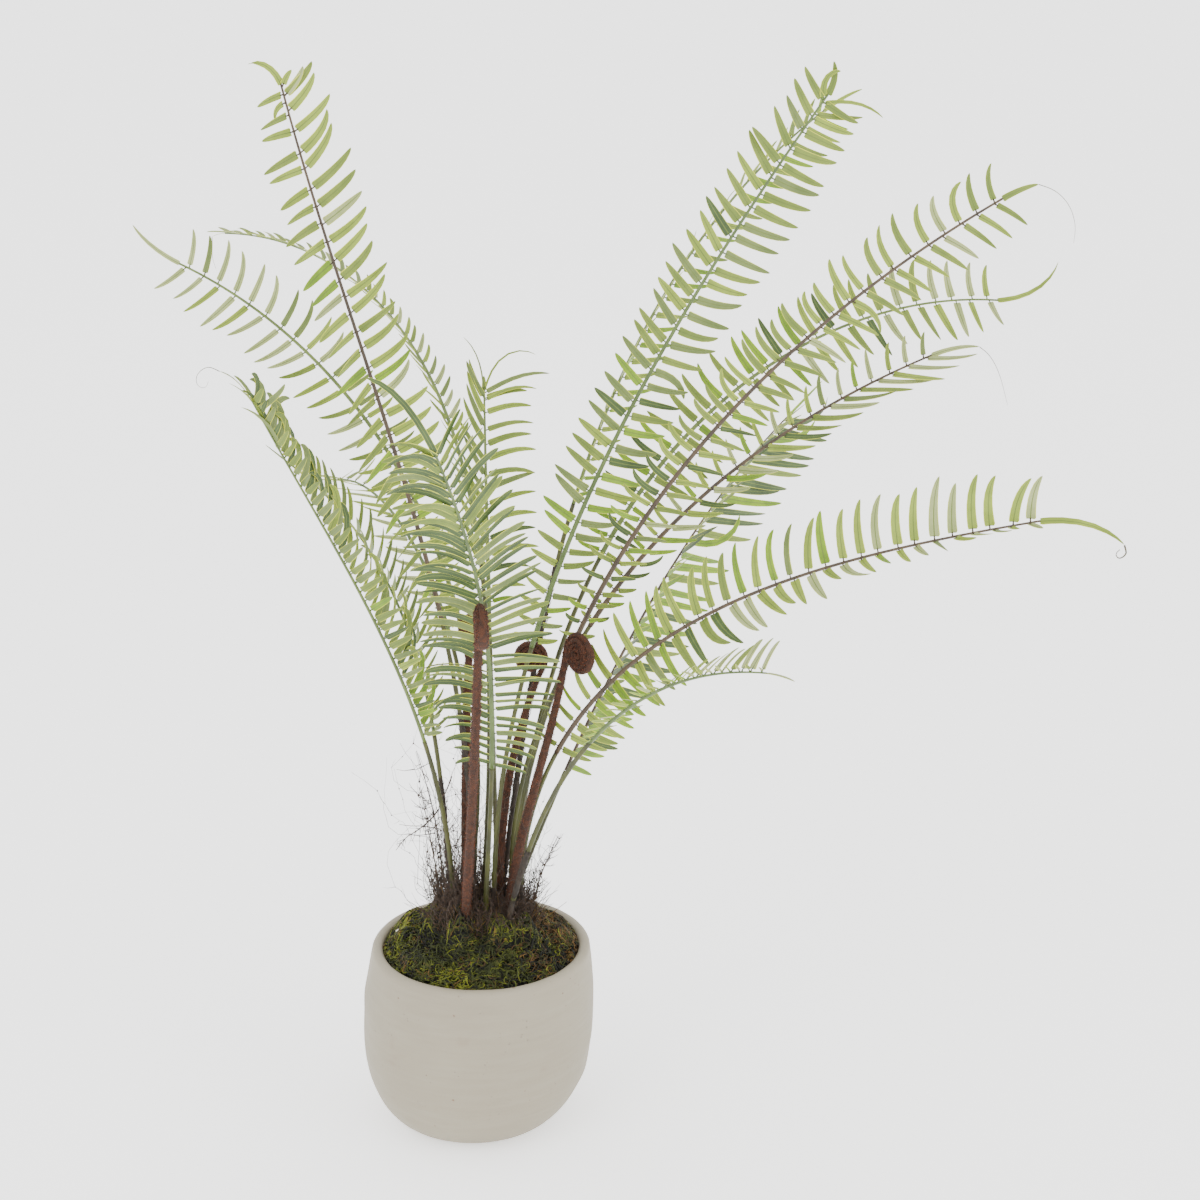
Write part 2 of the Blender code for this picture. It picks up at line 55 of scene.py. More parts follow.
# Sizes that the source gives to the pot and to the ground the plant stands on.
POT_HEIGHT = 151 * MM
POT_FOOT_RADIUS = 46 * MM
POT_BELLY_RADIUS = 92.5 * MM
POT_BELLY_HEIGHT = 80 * MM
POT_SHOULDER_RADIUS = 86.5 * MM
POT_WALL = 9 * MM
POT_FLOOR = 12 * MM
POT_LEAN = 0.045
POT_OVAL = 2.1
BLOCK_TOP = 134 * MM
CROWN_CENTRE_X = 4 * MM
CROWN_RADIUS = 40 * MM
CROWN_TOP = 168 * MM
MOSS_EDGE_TOP = 141 * MM
MOSS_LUMP = 2.5 * MM
MOSS_SHIFT = POT_LEAN * (MOSS_EDGE_TOP - POT_HEIGHT)
SEAT_GAP = 0.3 * MM

PLANT_MIDDLE = (0.05, 0, 0.35)

# Plain values of the shaders.
GRAIN_ROUGHNESS = 0.55
BLOTCH_EDGES = (0.36, 0.64)
ALONG = (1.0, 1.0, 0.2)


def tint(red: int, green: int, blue: int) -> Colour:
    """Turn display values of 0 to 255 into a linear colour.

    Args:
        red: Red as a screen shows it.
        green: Green as a screen shows it.
        blue: Blue as a screen shows it.

    Returns:
        The linear colour.
    """
    shares = [value / 255 for value in (red, green, blue)]
    return tuple(share / 12.92 if share <= 0.04045 else ((share + 0.055) / 1.055) ** 2.4 for share in shares)


# Shader maths

class Signal:
    """A socket of a node tree. Arithmetic on it adds Math nodes."""

    def __init__(self, tree: "Tree", socket: bpy.types.NodeSocket) -> None:
        """Keep the tree and the socket."""
        self.tree = tree
        self.socket = socket

    def combined(self, operation: str, other: "Signal | float", swapped: bool = False) -> "Signal":
        """Add one Math node, whose first value is the signal's own unless swapped."""
        values = {int(swapped): self, 1 - int(swapped): other}
        return self.tree.add("ShaderNodeMath", {"operation": operation}, values)

    __add__ = __radd__ = partialmethod(combined, "ADD")
    __sub__ = partialmethod(combined, "SUBTRACT")
    __rsub__ = partialmethod(combined, "SUBTRACT", swapped=True)
    __mul__ = __rmul__ = partialmethod(combined, "MULTIPLY")

    def step(self, low: float, high: float) -> "Signal":
        """Smooth step from 0 at low to 1 at high, or the other way where low is the larger.

        Args:
            low: Value that gives 0.
            high: Value that gives 1.

        Returns:
            The stepped value.
        """
        flipped = low > high
        ends = {"From Min": min(low, high), "From Max": max(low, high), "Value": self}
        rise = self.tree.add("ShaderNodeMapRange", {"interpolation_type": "SMOOTHSTEP"}, ends)
        return 1 - rise if flipped else rise


class Tree:
    """The node tree of one material, with its Principled shader ready."""

    def __init__(self, name: str) -> None:
        """Make the material.

        Args:
            name: The material's name.
        """
        self.material = bpy.data.materials.new(name)
        self.material.use_nodes = True
        self.nodes = self.material.node_tree.nodes
        self.links = self.material.node_tree.links
        self.shader = self.nodes["Principled BSDF"]
        self.place = self.add("ShaderNodeTexCoord", output="Object")

    def add(self, kind: str, settings: dict | None = None, inputs: dict | None = None,
            output: int | str = 0) -> Signal:
        """Add a node.

        Args:
            kind: The node's type.
            settings: Properties that are set first.
            inputs: Values or links of its sockets, by name or number.
            output: The output to hand back.

        Returns:
            That output.
        """
        node = self.nodes.new(kind)
        for key, value in (settings or {}).items():
            setattr(node, key, value)
        for key, value in (inputs or {}).items():
            self.feed(node.inputs[key], value)
        return Signal(self, node.outputs[output])

    def feed(self, socket: bpy.types.NodeSocket, value: "Signal | float | tuple") -> None:
        """Link a signal to a socket, or set the socket's value.

        Args:
            socket: The socket to fill.
            value: A signal, a number, a vector or a colour.
        """
        if isinstance(value, Signal):
            self.links.new(value.socket, socket)
        elif isinstance(value, tuple) and len(socket.default_value) == 4:
            socket.default_value = (*value, 1.0)
        else:
            socket.default_value = value

    def scattered(self, kind: str, shift: tuple[float, float, float], inputs: dict,
                  stretch: Colour = (1.0, 1.0, 1.0)) -> Signal:
        """A texture node over the piece, moved by shift and made finer by stretch."""
        mapped = self.add("ShaderNodeMapping", None, {"Vector": self.place, "Scale": stretch, "Location": shift})
        return self.add(kind, None, {"Vector": mapped, **inputs})

    def grain(self, scale: float, detail: float = 3.0, stretch: Colour = (1.0, 1.0, 1.0),
              shift: float = 0.0) -> Signal:
        """Noise of so many waves per metre and so many octaves, about 0.5 on average."""
        inputs = {"Scale": scale, "Detail": detail, "Roughness": GRAIN_ROUGHNESS}
        return self.scattered("ShaderNodeTexNoise", (shift, -shift, shift), inputs, stretch)

    def cells(self, scale: float, shift: float = 0.0) -> Signal:
        """Distance to the nearest of many scattered points, so many per metre."""
        return self.scattered("ShaderNodeTexVoronoi", (shift, shift, -shift), {"Scale": scale})

    def blend(self, share: Signal, first: "Signal | Colour", second: "Signal | Colour") -> Signal:
        """The first colour where share is 0, the second where it is 1."""
        return self.add("ShaderNodeMix", {"data_type": "RGBA"}, {0: share, 6: first, 7: second}, output=2)

    def finish(self, colour: Signal, roughness: "Signal | float", height: Signal | None = None,
               depth: float = 0.2 * MM, constants: dict[str, float] | None = None) -> bpy.types.Material:
        """Wire the shader.

        Args:
            colour: Base colour.
            roughness: Roughness.
            height: Relief, or None.
            depth: The relief's depth in metres.
            constants: Other sockets' plain values, by name.

        Returns:
            The material.
        """
        self.feed(self.shader.inputs["Base Color"], colour)
        self.feed(self.shader.inputs["Roughness"], roughness)
        if height is not None:
            relief = self.add("ShaderNodeBump", None, {"Height": height, "Strength": 1.0, "Distance": depth})
            self.feed(self.shader.inputs["Normal"], relief)
        for key, value in (constants or {}).items():
            self.feed(self.shader.inputs[key], value)
        return self.material


# Finishes

@dataclass(frozen=True)
class Finish:
    """A finish of one colour that drifts towards a second in soft blotches.

    Attributes:
        name: The material's name.
        colour: Main colour.
        drift: The colour it drifts towards.
        scale: Blotches per metre.
        roughness: Mean roughness.
        relief: Depth of the surface's relief in metres.
        stretch: How much finer the blotches are along each axis.
    """
    name: str
    colour: Colour
    drift: Colour
    scale: float = 60.0
    roughness: float = 0.6
    relief: float = 0.0
    stretch: Colour = (1.0, 1.0, 1.0)

    def build(self) -> bpy.types.Material:
        """Make the material.

        Returns:
            The material.
        """
        tree = Tree(self.name)
        blotch = tree.grain(self.scale, 4.0, self.stretch)
        colour = tree.blend(blotch.step(*BLOTCH_EDGES), self.colour, self.drift)
        fine = tree.grain(self.scale * 6, 2.0, self.stretch, 0.3)
        rough = self.roughness + (fine - 0.5) * 0.3
        height = fine if self.relief else None
        return tree.finish(colour, rough, height, self.relief)


@dataclass(frozen=True)
class PotFinish:
    """Cast stoneware: pale warm grey with clouds, pits, brown specks and a rubbed rim."""
    name: str = "pale_stoneware"
    colour: Colour = tint(142, 134, 115)
    cloud: Colour = tint(130, 122, 103)
    bleach: Colour = tint(154, 148, 131)
    speck: Colour = tint(110, 76, 54)
    chips: tuple = ((12, -86, 150, 1.3), (44, -75, 144, 1.1), (72, -50, 144, 0.9), (-79, -5, 151, 1.0),
                    (-17, -87, 132, 1.6), (-13, -92, 93, 0.9), (-19, -90, 60, 1.2), (-32, -87, 93, 0.7),
                    (-45, -79, 124, 0.8), (29, -77, 151, 1.6))

    def build(self) -> bpy.types.Material:
        """Make the material.

        Returns:
            The material.
        """
        tree = Tree(self.name)
        colour = tree.blend(tree.grain(12.0, 5.0).step(0.3, 0.7) * 0.45, self.colour, self.cloud)
        brushed = tree.grain(16.0, 5.0, (1.0, 1.0, 10.0), 0.7).step(0.42, 0.72)
        colour = tree.blend(brushed * 0.2, colour, self.bleach)
        streak = tree.grain(24.0, 4.0, (1.0, 1.0, 12.0), 1.3).step(0.45, 0.7)
        colour = tree.blend(streak * 0.22, colour, self.cloud)
        stain = tree.grain(26.0, 3.0, shift=2.1).step(0.62, 0.74)
        colour = tree.blend(stain * 0.18, colour, self.speck)
        pits = tree.cells(260.0).step(0.16, 0.05) * tree.grain(40.0, 2.0, shift=3.2).step(0.55, 0.6)
        specks = tree.cells(120.0, 0.4).step(0.13, 0.04) * tree.grain(30.0, 2.0, shift=5.0).step(0.56, 0.6)
        colour = tree.blend(specks * 0.8, colour, self.speck)
        ragged = (tree.grain(500.0, 2.0, shift=7.0) - 0.5) * 3.0 * MM
        for *place, size in self.chips:
            ends = {0: tree.place, 1: tuple(value * MM for value in place)}
            gap = tree.add("ShaderNodeVectorMath", {"operation": "DISTANCE"}, ends, output="Value")
            colour = tree.blend((gap + ragged).step(size * MM, size * 0.4 * MM) * 0.75, colour, self.speck)
        colour = tree.blend(pits * 0.35, colour, self.speck)
        sand = tree.grain(900.0, 3.0, shift=4.4)
        height = sand * 0.35 + tree.grain(120.0, 3.0, shift=6.0) - pits * 2.0 - specks * 0.8
        return tree.finish(colour, 0.62 + (sand - 0.5) * 0.25, height, 0.25 * MM, {"Specular IOR Level": 0.55})


@dataclass(frozen=True)
class LeafFinish:
    """Moulded leaf: one tone with faint mottling, fine cross veins in relief and a soft gloss."""
    name: str
    colour: Colour
    drift: Colour
    roughness: float = 0.5

    def build(self) -> bpy.types.Material:
        """Make the material.

        Returns:
            The material.
        """
        tree = Tree(self.name)
        colour = tree.blend(tree.grain(45.0, 3.0).step(0.35, 0.65), self.colour, self.drift)
        veins = tree.grain(700.0, 2.0, shift=0.2)
        colour = tree.blend(veins.step(0.5, 0.75) * 0.25, colour, self.drift)
        return tree.finish(colour, self.roughness + (veins - 0.5) * 0.2, veins, 0.08 * MM,
                           {"Specular IOR Level": 0.35})


class Leaf(Enum):
    """The tones of the leaf blades, partly lit and shaded copies of one green: bright and lime are painted backlight,
    grey-green and dark are painted shade. Also the margin, a painted highlight along the leaflet rims, and the
    midrib, which have slots of their own.
    """
    BRIGHT = LeafFinish("leaf_bright_painted_backlight", tint(132, 150, 54), tint(116, 134, 42))
    MID = LeafFinish("leaf_mid", tint(114, 130, 50), tint(96, 114, 40))
    GREY = LeafFinish("leaf_grey_green_painted_shade", tint(108, 122, 66), tint(90, 106, 52))
    PALE = LeafFinish("leaf_pale", tint(152, 160, 108), tint(136, 146, 90))
    LIME = LeafFinish("leaf_lime_painted_backlight", tint(118, 150, 14), tint(94, 126, 10))
    DARK = LeafFinish("leaf_dark_painted_shade", tint(66, 86, 42), tint(50, 68, 30))
    # A painted highlight: bright yellow along the leaflet rims, where the light catches the thin edges.
    MARGIN = LeafFinish("leaf_margin_painted_highlight", tint(198, 202, 66), tint(174, 180, 50))
    MIDRIB = LeafFinish("leaf_midrib", tint(98, 112, 48), tint(84, 100, 38))


BLADES = (Leaf.BRIGHT, Leaf.MID, Leaf.GREY, Leaf.PALE, Leaf.LIME, Leaf.DARK)


class Stalk(Enum):
    """The finishes of stems, ribs and the short pegs that carry the leaflets."""
    OLIVE = Finish("stem_olive", tint(66, 68, 14), tint(46, 48, 9), 90.0, 0.55, 0.1 * MM, ALONG)
    GREEN = Finish("rib_green", tint(96, 112, 48), tint(76, 92, 36), 90.0, 0.5, 0.1 * MM, ALONG)
    PALE = Finish("rib_pale", tint(84, 102, 46), tint(66, 84, 34), 90.0, 0.5, 0.1 * MM, ALONG)
    BROWN = Finish("rib_brown", tint(74, 58, 38), tint(52, 40, 26), 90.0, 0.55, 0.1 * MM, ALONG)
    SLEEVE = Finish("stem_sleeve", tint(48, 37, 26), tint(32, 25, 17), 220.0, 0.8, 0.3 * MM, (1.0, 1.0, 0.25))
    PEG = Finish("leaf_peg", tint(72, 62, 34), tint(48, 38, 24), 300.0, 0.6)
    THREAD = Finish("tip_thread", tint(96, 90, 60), tint(70, 60, 42), 200.0, 0.6)


class Fuzz(Enum):
    """The finishes of the croziers."""
    SKIN = Finish("crozier_skin", tint(68, 35, 14), tint(44, 22, 9), 260.0, 0.9, 0.4 * MM)
    DARK_HAIR = Finish("crozier_dark_hair", tint(76, 41, 18), tint(48, 26, 12), 300.0, 0.7)
    RUST_HAIR = Finish("crozier_rust_hair", tint(162, 80, 32), tint(110, 52, 19), 300.0, 0.6)


class Ground(Enum):
    """The finishes of the moss, the roots and what they grow from. The near-black moss floor is painted shade between
    the strands; the deep and bright moss tones are partly painted shade and painted highlight.
    """
    # Deep: near-black strands, partly painted shade in the moss.
    DEEP = Finish("moss_deep_and_painted_shade", tint(21, 22, 6), tint(11, 12, 4), 120.0, 0.9)
    GREEN = Finish("moss_green", tint(64, 70, 10), tint(38, 44, 6), 120.0, 0.85)
    # Bright: yellow-green strands, partly painted highlight on the moss.
    BRIGHT = Finish("moss_bright_and_painted_highlight", tint(116, 120, 18), tint(78, 86, 12), 120.0, 0.8)
    TAN = Finish("moss_tan", tint(106, 78, 34), tint(66, 47, 21), 120.0, 0.85)
    # Near-black sheet under the strands: painted shade between them.
    PAINTED_SHADE_SHEET = Finish("moss_floor_painted_shade", tint(10, 10, 4), tint(6, 6, 2), 160.0, 0.95, 0.6 * MM)
    FOAM = Finish("planting_foam", tint(62, 52, 36), tint(44, 36, 26), 240.0, 0.95, 0.5 * MM)
    ROOT = Finish("root_fibre", tint(70, 52, 36), tint(38, 28, 20), 300.0, 0.7)
    HUSK = Finish("crown_husk", tint(66, 46, 30), tint(34, 24, 18), 180.0, 0.9, 0.5 * MM)
    CHIP = Finish("chalk_chip", tint(226, 224, 214), tint(198, 194, 184), 200.0, 0.8, 0.2 * MM)


@cache
def material_of(finish: "Enum | PotFinish") -> bpy.types.Material:
    """The material of a finish, or of an Enum member that holds one, made once."""
    return (finish.value if isinstance(finish, Enum) else finish).build()


# Vectors and shapes

def unit(vectors: Array) -> Array:
    """Vectors of length 1 along the last axis."""
    return vectors / np.maximum(np.linalg.norm(vectors, axis=-1, keepdims=True), 1e-12)


def facing(azimuth: Array | float, elevation: Array | float) -> Array:
    """Unit vectors of compass azimuths and elevations in degrees, 0 along +X and 90 along +Y."""
    turn, rise = np.radians(azimuth), np.radians(elevation)
    return np.stack((np.cos(rise) * np.cos(turn), np.cos(rise) * np.sin(turn), np.sin(rise)), -1)


FRONT = facing(-90.0, 0.0)
UPWARD = np.array([[0.0, 0.0, 1.0]])


def cross_axes(tangents: Array, face: Array) -> tuple[Array, Array]:
    """Section axes square to unit tangents: the side axes, and the up axes nearest to face."""
    side = unit(np.cross(tangents, face))
    return side, unit(np.cross(side, tangents))


def walk(steps: Array) -> Array:
    """Places reached from zero by steps along the last axis but one, one more than there are steps."""
    return np.concatenate((np.zeros_like(steps[..., :1, :]), np.cumsum(steps, axis=-2)), axis=-2)


def sample(spots: Array | float, marks: Array, values: Array) -> Array:
    """Values at some spots between marks, each column on its own."""
    return np.stack([np.interp(spots, marks, column) for column in values.T], -1)


def marks_of(line: Array) -> Array:
    """Distances along a line of points from its first one."""
    return walk(np.linalg.norm(np.diff(line, axis=0), axis=1, keepdims=True))[:, 0]


def between(values: tuple[float, float], share: Array | float) -> Array | float:
    """A value that runs from the first to the second as share goes from 0 to 1."""
    return values[0] + (values[1] - values[0]) * share


def resample(line: Array, stations: int) -> Array:
    """Points evenly spaced along a smooth curve through some points.

    Args:
        line: The points.
        stations: How many to give back.

    Returns:
        The spaced points.
    """
    dense = line
    for _ in range(3):
        cut = np.stack((dense[:-1] * 0.75 + dense[1:] * 0.25, dense[:-1] * 0.25 + dense[1:] * 0.75), 1)
        dense = np.concatenate((dense[:1], cut.reshape(-1, 3), dense[-1:]))
    marks = marks_of(dense)
    return sample(np.linspace(0, marks[-1], stations), marks, dense)


def rod_frames(lines: Array) -> tuple[Array, Array]:
    """Section axes of many lines, steady along each.

    Args:
        lines: Points, as (lines, stations, 3).

    Returns:
        Side and up axes of the same shape.
    """
    tangents = unit(np.gradient(lines, axis=1))
    chord = unit(lines[:, -1] - lines[:, 0] + 1e-9)
    aside = np.where(np.abs(chord[:, 2:]) < 0.8, UPWARD, np.array([[1.0, 0.0, 0.0]]))
    side = unit(np.cross(tangents, np.broadcast_to(aside[:, None], tangents.shape)))
    return side, np.cross(side, tangents)


def mesh_of(bm: bmesh.types.BMesh, name: str, smooth: bool = True) -> bpy.types.Mesh:
    """Make a bmesh a mesh and free it.

    Args:
        bm: The bmesh.
        name: The mesh's name.
        smooth: True for smooth shading.

    Returns:
        The mesh.
    """
    mesh = bpy.data.meshes.new(name)
    bm.to_mesh(mesh)
    bm.free()
    if smooth:
        mesh.shade_smooth()
    return mesh


def put(name: str, data: bpy.types.ID) -> bpy.types.Object:
    """Put a new object in the scene's collection.

    Args:
        name: Its name.
        data: Its mesh, camera or light.

    Returns:
        The object.
    """
    thing = bpy.data.objects.new(name, data)
    bpy.context.collection.objects.link(thing)
    return thing


class Shape:
    """A small mesh laid out straight, ready to be bent along many lines at once.

    Attributes:
        station: For each vertex, the number of its ring or row.
        x: Its place across, as a share of the half width.
        y: Its place up, as a share of the half thickness.
        faces: Tuples of vertex numbers.
        bands: For each face, the number of its strip.
    """

    def __init__(self, bm: bmesh.types.BMesh, bands: list[int] | None = None) -> None:
        """Read the straight shape, whose z is the station, and free the bmesh.

        Args:
            bm: The straight shape.
            bands: Strip numbers in the order of the faces, or None for all 0.
        """
        bm.verts.index_update()
        place = np.array([vert.co for vert in bm.verts])
        self.x, self.y = place[:, 0], place[:, 1]
        self.station = np.rint(place[:, 2]).astype(int)
        self.faces = [tuple(vert.index for vert in face.verts) for face in bm.faces]
        self.bands = np.array(bands if bands else [0] * len(self.faces))
        bm.free()

    def bend(self, centres: Array, side: Array, up: Array, half_side: Array, half_up: Array) -> Array:
        """Lay copies of the shape along lines.

        Args:
            centres: Points of the lines, as (copies, stations, 3).
            side: Side axes there.
            up: Up axes there.
            half_side: Half widths, as (copies, stations).
            half_up: Half thicknesses.

        Returns:
            Vertices, as (copies, vertices, 3).
        """
        at = self.station
        across = side[:, at] * (half_side[:, at] * self.x)[..., None]
        return centres[:, at] + across + up[:, at] * (half_up[:, at] * self.y)[..., None]


@cache
def rod_shape(stations: int, sides: int) -> Shape:
    """A closed rod of unit radius.

    Args:
        stations: Rings along it.
        sides: Corners of each ring.

    Returns:
        The shape.
    """
    bm = bmesh.new()
    bmesh.ops.create_cone(bm, cap_ends=True, segments=sides, radius1=1.0, radius2=1.0, depth=stations - 1)
    if stations > 2:
        long = [edge for edge in bm.edges if abs(edge.verts[0].co.z - edge.verts[1].co.z) > 0.5]
        bmesh.ops.subdivide_edges(bm, edges=long, cuts=stations - 2, use_grid_fill=True)
    bmesh.ops.translate(bm, verts=bm.verts, vec=(0, 0, (stations - 1) / 2))
    return Shape(bm)


class Heap:
    """Copies of small shapes, gathered to be joined into one mesh."""

    def __init__(self, finishes: tuple) -> None:
        """Start an empty heap.

        Args:
            finishes: The finishes that faces may take, in slot order.
        """
        self.finishes = finishes
        self.points, self.corners, self.sizes, self.slots = [], [], [], []
        self.count = 0

    def add(self, shape: Shape, points: Array, slots: Array, turned: bool = False) -> None:
        """Add bent copies of a shape.

        Args:
            shape: The shape.
            points: Its bent vertices, as (copies, vertices, 3).
            slots: Finish numbers, as (copies, strips) or (copies, 1).
            turned: True to turn the faces round.
        """
        copies, size = points.shape[:2]
        start = self.count + np.arange(copies) * size
        for corners in sorted({len(face) for face in shape.faces}):
            chosen = [number for number, face in enumerate(shape.faces) if len(face) == corners]
            table = np.array([shape.faces[number] for number in chosen])
            table = table[:, ::-1] if turned else table
            self.corners.append((start[:, None, None] + table[None]).ravel())
            self.sizes.append(np.full(copies * len(chosen), corners))
            bands = np.minimum(shape.bands[chosen], slots.shape[1] - 1)
            self.slots.append(slots[:, bands].ravel())
        self.points.append(points.reshape(-1, 3))
        self.count += copies * size

    def rods(self, axes: tuple[Array, ...], wide: Array, thick: Array, sides: int, slots: int | Array) -> None:
        """Add rods, or a single one where the arrays have no axis for several.

        Args:
            axes: Their centres, side axes and up axes, as (rods, stations, 3).
            wide: Half widths, as (rods, stations).
            thick: Half thicknesses.
            sides: Corners of each ring.
            slots: Finish number, for all or for each.
        """
        stations = wide.shape[-1]
        shape = rod_shape(stations, sides)
        halves = [half.reshape(-1, stations) for half in (wide, thick)]
        points = shape.bend(*(axis.reshape(-1, stations, 3) for axis in axes), *halves)
        self.add(shape, points, np.broadcast_to(np.reshape(slots, (-1, 1)), (len(points), 1)))

    def fibres(self, lines: list[Array] | Array, radius: float | Array, slots: int | Array = 0,
               stations: int = 8, sides: int = 3, taper: float = 0.35) -> None:
        """Add thin round fibres along lines.

        Args:
            lines: Points of each fibre; those in a list are smoothed first.
            radius: Radius at the foot, for all or for each.
            slots: Finish number, for all or for each.
            stations: Rings along each smoothed fibre.
            sides: Corners of each ring.
            taper: Radius at the tip as a share of the foot's.
        """
        if isinstance(lines, list):
            lines = np.stack([resample(line, stations) for line in lines])
        side, up = rod_frames(lines)
        fade = between((1, taper), np.linspace(0, 1, lines.shape[1]))
        radii = np.broadcast_to(np.reshape(radius, (-1, 1)), (len(lines), 1)) * fade
        self.rods((lines, side, -up), radii, radii, sides, slots)

    def piece(self, name: str, slot: str, nodes: tuple[str, ...] = ()) -> None:
        """Join the heap into a piece of the plant.

        Args:
            name: The piece's name.
            slot: Not used.
            nodes: The CAD nodes it stands for.
        """
        mesh = bpy.data.meshes.new(name)
        points, corners = np.concatenate(self.points), np.concatenate(self.corners)
        sizes = np.concatenate(self.sizes)
        mesh.vertices.add(len(points))
        mesh.vertices.foreach_set("co", points.ravel())
        mesh.loops.add(len(corners))
        mesh.loops.foreach_set("vertex_index", corners)
        mesh.polygons.add(len(sizes))
        mesh.polygons.foreach_set("loop_start", np.concatenate(([0], np.cumsum(sizes)[:-1])))
        mesh.polygons.foreach_set("material_index", np.concatenate(self.slots))
        mesh.polygons.foreach_set("use_smooth", np.full(len(sizes), True))
        mesh.update(calc_edges=True)
        settle(name, mesh, self.finishes, nodes)


def settle(name: str, mesh: bpy.types.Mesh, finishes: tuple, nodes: tuple[str, ...] = ()) -> None:
    """Make a mesh a piece: linked, dressed, riding on the root, in place of its nodes.

    Args:
        name: The piece's name.
        mesh: Its mesh, in place.
        finishes: Its finishes, in slot order.
        nodes: The CAD nodes it stands for.
    """
    mesh.validate()
    for finish in finishes:
        mesh.materials.append(material_of(finish))
    piece = put(name, mesh)
    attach(piece, "root")
    if nodes:
        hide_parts(*nodes)
    LOG.info("%s: %d faces for %s", name, len(mesh.polygons), ", ".join(nodes) or "no node")


# Limbs

@dataclass(frozen=True)
class Limb:
    """A limb's centre line: foot and length in millimetres, angles in degrees.

    Attributes:
        foot: Where it starts on the crown.
        length: Its length.
        lean: Lean from the vertical at the foot, at the middle control and at the tip.
        heading: Compass direction at foot and tip, 0 along +X and 90 along +Y.
    """
    foot: tuple[float, float]
    length: float
    lean: tuple[float, float, float]
    heading: tuple[float, float]


class Path:
    """The centre line of a limb, for points and tangents at any distances."""

    STEP = 3 * MM

    def __init__(self, limb: Limb, sink: float = 0.0) -> None:
        """Trace the limb by the source's rule.

        Args:
            limb: The limb.
            sink: How far its foot lies below the crown's top.
        """
        count = round(limb.length * MM / self.STEP)
        step = limb.length * MM / count
        middles = (np.arange(count) + 0.5) / count
        start = np.array([limb.foot[0] * MM, limb.foot[1] * MM, CROWN_TOP + SEAT_GAP - sink])
        self.points = start + walk(self.direction(limb, middles) * step)
        self.tangents = self.direction(limb, np.arange(count + 1) / count)
        self.marks = np.arange(count + 1) * step
        self.length = limb.length * MM

    @staticmethod
    def direction(limb: Limb, share: Array) -> Array:
        """Unit directions of growth.

        Args:
            limb: The limb.
            share: Shares of its length.

        Returns:
            The directions, along the last axis.
        """
        foot, middle, tip = limb.lean
        lean = foot * (1 - share) ** 2 + 2 * middle * share * (1 - share) + tip * share ** 2
        return facing(between(limb.heading, share), 90 - lean)

    def at(self, distances: Array) -> tuple[Array, Array]:
        """Points and unit tangents at distances from the foot.

        Args:
            distances: Distances in metres.

        Returns:
            Points and tangents, along the last axis.
        """
        return sample(distances, self.marks, self.points), unit(sample(distances, self.marks, self.tangents))


def leaflet_shape(widths: tuple[float, ...], ears: tuple[float, ...]) -> Shape:
    """A flat leaflet: square-cut at its foot, pointed, with a channel along the midrib.

    Its strips are margin, blade, midrib, blade and margin.

    Args:
        widths: Half widths of the lower side, row by row, as shares of the full one.
        ears: Half widths of the upper side, which has an ear at its foot.

    Returns:
        The shape, one unit half wide, one station for each row.
    """
    columns = (-1.0, -0.87, -0.1, 0.1, 0.87, 1.0)
    camber = (0.1, 0.45, -0.6, -0.6, 0.45, 0.1)
    rows = len(widths)
    bm = bmesh.new()
    bmesh.ops.create_grid(bm, x_segments=len(columns) - 1, y_segments=rows - 1, size=1.0)
    strips = [int((face.calc_center_median().x + 1) / 2 * (len(columns) - 1)) for face in bm.faces]
    bands = [(0, 1, 2, 1, 0)[strip] for strip in strips]
    for vert in bm.verts:
        column = round((vert.co.x + 1) / 2 * (len(columns) - 1))
        row = round((vert.co.y + 1) / 2 * (rows - 1))
        share = columns[column]
        width = ears[row] if share > 0 else widths[row]
        vert.co = (share * width, camber[column] * min(1.0, width), row)
    return Shape(bm, bands)


class Outline(Enum):
    """The outlines that a leaflet may have."""
    SWORD = leaflet_shape((0.84, 0.95, 1.0, 0.99, 0.96, 0.88, 0.74, 0.54, 0.3, 0.0),
                          (0.92, 1.16, 1.08, 1.0, 0.92, 0.81, 0.64, 0.44, 0.23, 0.0))
    STRAP = leaflet_shape((0.8, 0.95, 0.98, 1.0, 1.0, 0.98, 0.92, 0.76, 0.48, 0.0),
                          (0.9, 1.15, 1.04, 1.0, 1.0, 0.98, 0.92, 0.76, 0.48, 0.0))


LEAFLET_ROWS = np.array((0.0, 0.035, 0.11, 0.25, 0.42, 0.6, 0.76, 0.88, 0.96, 1.0))
# MARGIN_SLOT holds the painted rim highlight of the leaflets.
MARGIN_SLOT, MIDRIB_SLOT, PEG_SLOT, RIB_SLOT, THREAD_SLOT = range(len(BLADES), len(BLADES) + 5)


# Fronds

@dataclass(frozen=True)
class Plume:
    """One long leaflet near a frond's tip.

    Attributes:
        place: Share of the blade's length where it leaves the rib.
        sign: Its side, -1 for the left and 1 for the right of the blade's face.
        length: Its millimetres.
        half_width: Millimetres of half its width.
        foot: Degrees between it and the rib at its foot.
        tip: The same at its tip.
    """
    place: float
    sign: int
    length: float
    half_width: float
    foot: float
    tip: float


